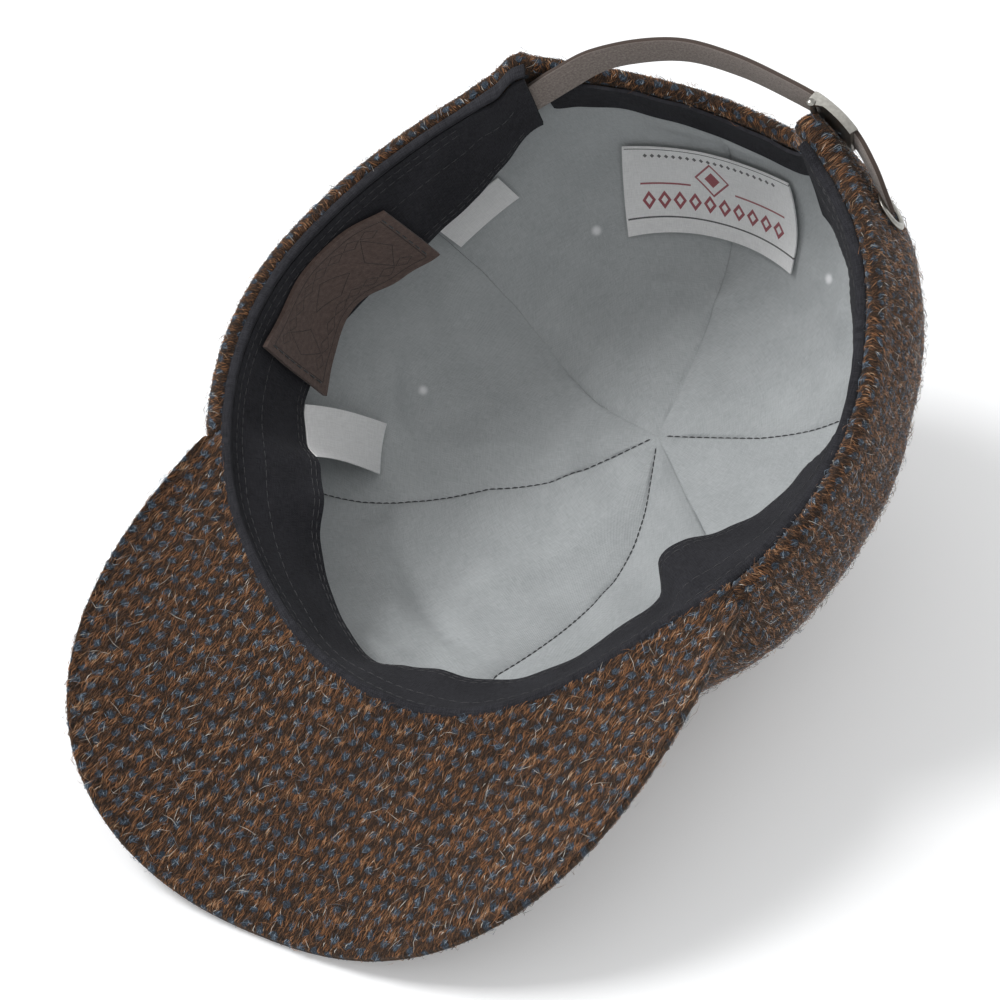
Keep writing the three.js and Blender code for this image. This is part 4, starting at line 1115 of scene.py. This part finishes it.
def strapLeatherParts():
    # a rounded section carried along the middle line, narrowing towards the tail
    share = np.linspace(0, 1, 260)
    width = strap["width"] + (strap["tailWidth"] - strap["width"]) * smooth(share, strap["taperFrom"], 1)
    across, out = roundedSection(2.0, strap["thickness"], 0.45)
    scale = (width / 2.0)[:, None]
    flatPart = np.clip(across, -0.55, 0.55)
    wide = np.sign(across) * np.where(np.abs(across) >= 0.55, scale - (1.0 - np.abs(across)),
                                      np.abs(flatPart) * scale)
    ring = onStrap(share[:, None], out[None], wide)
    onEdge = np.abs(across) > 0.8
    v = np.where(onEdge[None], -1.0, wide + 20)
    cloth = np.stack([np.broadcast_to((share * strapLine[4])[:, None], v.shape), v], -1)
    return tubeParts(ring, cloth)


clip = {"gap": 0.35, "metal": 0.8, "flangeOut": 0.5, "pinFlangeIn": 3.6, "flangeIn": 2.2, "pinOut": -3.4,
        "pinRadius": 1.0, "pinHead": 1.35}
flangeHalf = 6.1


def buckleClip():
    # a section like an H on its side, carried along the strap: the flanges are deep at the pin's end
    share = np.unique(np.concatenate([np.linspace(0, 1, 40), np.linspace(0.1, 0.5, 40)]))
    reach = clip["pinFlangeIn"] + (clip["flangeIn"] - clip["pinFlangeIn"]) * smooth(share, 0.12, 0.34)
    nose = np.sqrt(np.clip(1 - (1 - np.clip(share / 0.09, 0, 1)) ** 2, 0.02, 1))
    plate = -strap["thickness"] / 2 - clip["gap"]
    reach = np.minimum(plate - clip["metal"] - 0.15, -reach * (0.62 + 0.38 * nose))
    h, far, up = flangeHalf, flangeHalf + clip["metal"], clip["flangeOut"] * (0.2 + 0.8 * nose)
    inner = np.full_like(reach, plate - clip["metal"])
    outer = np.full_like(reach, plate)
    corners = [(-far, up), (-h, up), (-h, outer), (h, outer), (h, up), (far, up),
               (far, reach), (h, reach), (h, inner), (-h, inner), (-h, reach), (-far, reach)]
    across = np.stack([np.full_like(reach, a) for a, _ in corners], -1)
    out = np.stack([b for _, b in corners], -1)
    at = strap["clipFrom"] + (strap["clipTo"] - strap["clipFrom"]) * share
    ring = onStrap(at[:, None], out, across)
    return tubeParts(ring)


def dome(middle, axis, side, radius, height, sides=24):
    # a half ellipsoid on an axis: rings shrinking along a quarter circle, closed flat underneath
    axis, side = unit(axis), unit(side)
    third = np.cross(axis, side)
    rise = np.radians(np.linspace(0, 88, 8))[:, None]
    turn = np.linspace(0, 2 * np.pi, sides, endpoint=False)[None]
    ring = (side * (radius * np.cos(rise) * np.cos(turn))[..., None]
            + third * (radius * np.cos(rise) * np.sin(turn))[..., None]
            + axis * np.broadcast_to(height * np.sin(rise), (8, sides))[..., None])
    return tubeParts(middle + ring)


def bucklePin():
    # a round bar across the strap, with a domed head at each end
    share = strap["clipFrom"] + (strap["clipTo"] - strap["clipFrom"]) * 0.1
    at = int(share * (len(strapLine[0]) - 1))
    place, along, out, across = (rows[at] for rows in strapLine[:4])
    middle = place + out * clip["pinOut"]
    turn = np.linspace(0, 2 * np.pi, 20, endpoint=False)[None]
    run = np.linspace(-flangeHalf, flangeHalf, 6)[:, None]
    shaft = (middle + across * run[..., None] + along * (clip["pinRadius"] * np.cos(turn))[..., None]
             + out * (clip["pinRadius"] * np.sin(turn))[..., None])
    heads = [dome(middle + across * s * (flangeHalf + clip["metal"]), across * s, along,
                  clip["pinHead"], 0.9)
             for s in (1, -1)]
    return joinParts(tubeParts(shaft), *heads)


def grommet():
    # a ring turned about the crown's normal: a closed profile carried round a circle
    angle, share = 139.5, float(shareAtDepth(14.5))
    normal = crownNormal(np.array(angle), np.array(share))
    side = unit(np.cross(normal, np.array([0.0, 0.0, 1.0])))
    up = np.cross(normal, side)
    middle = crownPoint(np.array(angle), np.array(share)) + normal * (crown["outside"] + 0.7)
    turn = np.linspace(0, 2 * np.pi, 64, endpoint=False)[:, None]
    bead = np.linspace(0, 2 * np.pi, 20, endpoint=False)[None]
    radius = 5.0 + 1.2 * np.cos(bead)
    height = 0.85 + 0.85 * np.sin(bead) * np.where(np.sin(bead) > 0, 1, 0.6)
    ring = (side * (radius * np.cos(turn))[..., None] + up * (radius * np.sin(turn))[..., None]
            + normal * np.broadcast_to(height, (64, 20))[..., None])
    half = 10
    cloth = np.zeros((64, half, 2))
    return wallParts((middle + ring)[:, :half], (middle + ring)[:, half:][:, ::-1], cloth, closed=True)


addPiece("strap_leather", strapLeatherParts(), strapLeather, "strap_leather", "strap")
buckle = addPiece("buckle_metal", buckleClip(), nickel, "nickel", "buckle_clip")
bevel = buckle.modifiers.new("edges", "BEVEL")
bevel.width, bevel.segments, bevel.limit_method, bevel.angle_limit = 0.00016, 2, "ANGLE", math.radians(40)
addPiece("buckle_rivet", bucklePin(), nickel, "nickel", "buckle_pin")
addPiece("grommet_ring", grommet(), nickel, "nickel", "grommet")
print("strap, buckle and grommet made")


# Labels and patch

def liningLabel(corners, thickness, columns, rows, lift, ripple):
    # a patch of cloth on the lining between four corners (angle, share), blended both ways
    u, v = np.linspace(0, 1, columns)[:, None], np.linspace(0, 1, rows)[None]
    (a0, s0), (a1, s1), (a2, s2), (a3, s3) = corners
    angle = (a0 + (a1 - a0) * u) * (1 - v) + (a3 + (a2 - a3) * u) * v
    share = (s0 + (s1 - s0) * u) * (1 - v) + (s3 + (s2 - s3) * u) * v
    inset = lining["inside"] + lift + ripple * (1 + wobble(angle * 1.5, share * 150, 22, 51))
    near, far = crownLayer(angle, share, inset + thickness), crownLayer(angle, share, inset)
    across = np.linalg.norm(near[-1, 0] - near[0, 0])
    down = np.linalg.norm(near[0, -1] - near[0, 0])
    cloth = np.stack(np.broadcast_arrays(u * across, v * down), -1)
    return wallParts(near, far, cloth)


def loopLabel():
    # hangs from under the band's free edge down to the lining
    u, v = np.linspace(0, 1, 24)[:, None], np.linspace(0, 1, 30)[None]
    edge = bandPoint(-77 + 14.5 * u, 1.0, band["thickness"])
    edge = edge - np.array([0, 0, 0.6])
    rest = crownLayer(-75.2 + 13.5 * u, 0.475, np.full(u.shape, lining["inside"] + 2.2))
    point = edge + (rest - edge) * v[..., None]
    inward = -outward(-75.2 + 13.5 * u)
    point = point + np.array([0, 0, 1.0]) * (2.5 * np.sin(np.pi * v) + 0.25 * wobble(u * 15, v * 22, 14,
                                                                                     55))[..., None]
    cloth = np.stack(np.broadcast_arrays(u * 15, v * 22), -1)
    return wallParts(point + inward * 0.5, point, cloth)


patchTable = {
    "angle": [0, 0.25, 0.5, 0.75, 1], "top": [0.12, 0.20, 0.14, 0.15, 0.26],
    "topAngle": [-79.8, -87.5, -96.5, -107, -117.8], "free": [1.12, 1.05, 0.90, 1.04, 1.08],
    "freeAngle": [-80.6, -90.5, -101.5, -112, -123], "lift": [1.6, 0.5, 0.35, 0.7, 1.9]}


def leatherPatch():
    # a wall whose outline comes from the table's rows, standing off the band by their lift
    u, v = np.linspace(0, 1, 80)[:, None], np.linspace(0, 1, 40)[None]
    part = {key: throughRows(patchTable, key)(u) for key in patchTable if key != "angle"}
    angle = part["topAngle"] + (part["freeAngle"] - part["topAngle"]) * v
    share = part["top"] + (part["free"] - part["top"]) * v
    soft = 0.35 * wobble(u * 60, v * 30, 20, 61)
    base = bandPoint(angle, share, band["thickness"] + 0.5)
    inward = -outward(angle)
    lift = (part["lift"] + soft)[..., None]
    cloth = np.stack(np.broadcast_arrays(u * 60, v * 31), -1)
    return wallParts(base + inward * (lift + 1.3), base + inward * lift, cloth)


patchThreads = []
for u in (0.045, 0.955):
    v = np.linspace(0.06, 0.94, 200)
    part = {key: throughRows(patchTable, key)(np.full(200, u)) for key in patchTable if key != "angle"}
    angle = part["topAngle"] + (part["freeAngle"] - part["topAngle"]) * v
    path = bandPoint(angle, part["top"] + (part["free"] - part["top"]) * v, band["thickness"] + 1.9)
    path = path - outward(angle) * part["lift"][:, None]
    patchThreads.append(stitchesOn(path, -outward(angle), 2.4, 0.8, 0.24))
addPiece("patch_stitches", joinParts(*patchThreads), darkThread, "patch_leather", sharp=False)
addPiece("patch_leather_piece", leatherPatch(), patchLeather, "patch_leather", "leather_patch")
wovenCorners = [(-160.5, 0.305), (-193, 0.325), (-200, 0.55), (-153.5, 0.545)]
sizeCorners = [(-137.5, 0.265), (-138, 0.345), (-122.5, 0.365), (-122.4, 0.295)]
addPiece("label_woven", liningLabel(wovenCorners, 0.6, 90, 60, 1.9, 0.5), wovenLabel, "label_cloth",
         "woven_label")
addPiece("label_size", liningLabel(sizeCorners, 0.4, 30, 24, 1.7, 0.3), labelCloth, "label_cloth",
         "size_label")
addPiece("label_loop", loopLabel(), labelCloth, "label_cloth", "loop_label")
print("labels and patch made")


# Camera, floor and light

def lookFrom(thing, place, forward, up):
    # turns a camera or light to look along forward, with up at the top of its picture
    f = unit(np.array(forward, float))
    right = unit(np.cross(f, np.array(up, float)))
    turned = Matrix(np.stack([right, np.cross(right, f), -f], 1).tolist())
    thing.matrix_world = Matrix.Translation(place) @ turned.to_4x4()


# the camera fitted to the photograph, its place in mm from the middle of the rim
view = {"lens": 108, "sensor": 36, "place": (354.4, -623.9, 461.7), "forward": (-0.415, 0.703, -0.577),
        "up": (-0.274, 0.508, 0.816)}

def addCamera():
    data = bpy.data.cameras.new("camera")
    data.lens, data.sensor_width = view["lens"], view["sensor"]
    data.clip_start, data.clip_end = 0.05, 20
    camera = bpy.data.objects.new("camera", data)
    bpy.context.collection.objects.link(camera)
    place = (np.array(view["place"]) + capOrigin) * 0.001
    lookFrom(camera, place.tolist(), view["forward"], view["up"])
    bpy.context.scene.camera = camera


lightTarget = np.array([0, 0, 0.06])

def addLight(name, place, size, power):
    # a square area light aimed at the cap: place and size in metres, power in watts
    data = bpy.data.lights.new(name, "AREA")
    data.size, data.energy = size, power
    light = bpy.data.objects.new(name, data)
    bpy.context.collection.objects.link(light)
    lookFrom(light, place, lightTarget - np.array(place), (0.01, 0.02, 1))


def addFloor():
    n = 24
    x = np.linspace(-6, 6, n)[:, None]
    y = np.linspace(-6, 6, n)[None]
    points = np.stack(np.broadcast_arrays(x, y, 0 * x * y), -1).reshape(-1, 3)
    mesh = bpy.data.meshes.new("floor")
    mesh.from_pydata(points.tolist(), [], quadsOf(np.arange(n * n).reshape(n, n)).tolist())
    floor = bpy.data.objects.new("floor", mesh)
    bpy.context.collection.objects.link(floor)
    material, tree, shader, _ = newMaterial("floor_white", 0.9)
    place = addNode(tree, "ShaderNodeTexCoord").outputs["Object"]
    feed(tree, shader.inputs["Base Color"], ramp(tree, noise(tree, place, 3, 2).outputs[0],
                                                 [(0.3, (0.86, 0.87, 0.88)), (0.7, (0.88, 0.89, 0.90))]))
    shader.inputs["Emission Color"].default_value = (1, 1, 1, 1)
    shader.inputs["Emission Strength"].default_value = 0.2
    mesh.materials.append(material)


addCamera()
addFloor()
addLight("key", (-1.08, -0.52, 1.62), 0.7, 26)
addLight("back", (0.7, 1.6, 0.9), 1.0, 4)
addLight("front", (0.5, -1.5, 1.3), 1.2, 3)
world = bpy.data.worlds.new("studio")
bpy.context.scene.world = world
world.use_nodes = True
world.node_tree.nodes["Background"].inputs[0].default_value = (1, 1, 1, 1)
world.node_tree.nodes["Background"].inputs[1].default_value = 0.58
bpy.context.scene.view_settings.view_transform = "Standard"
print("camera and lights made")
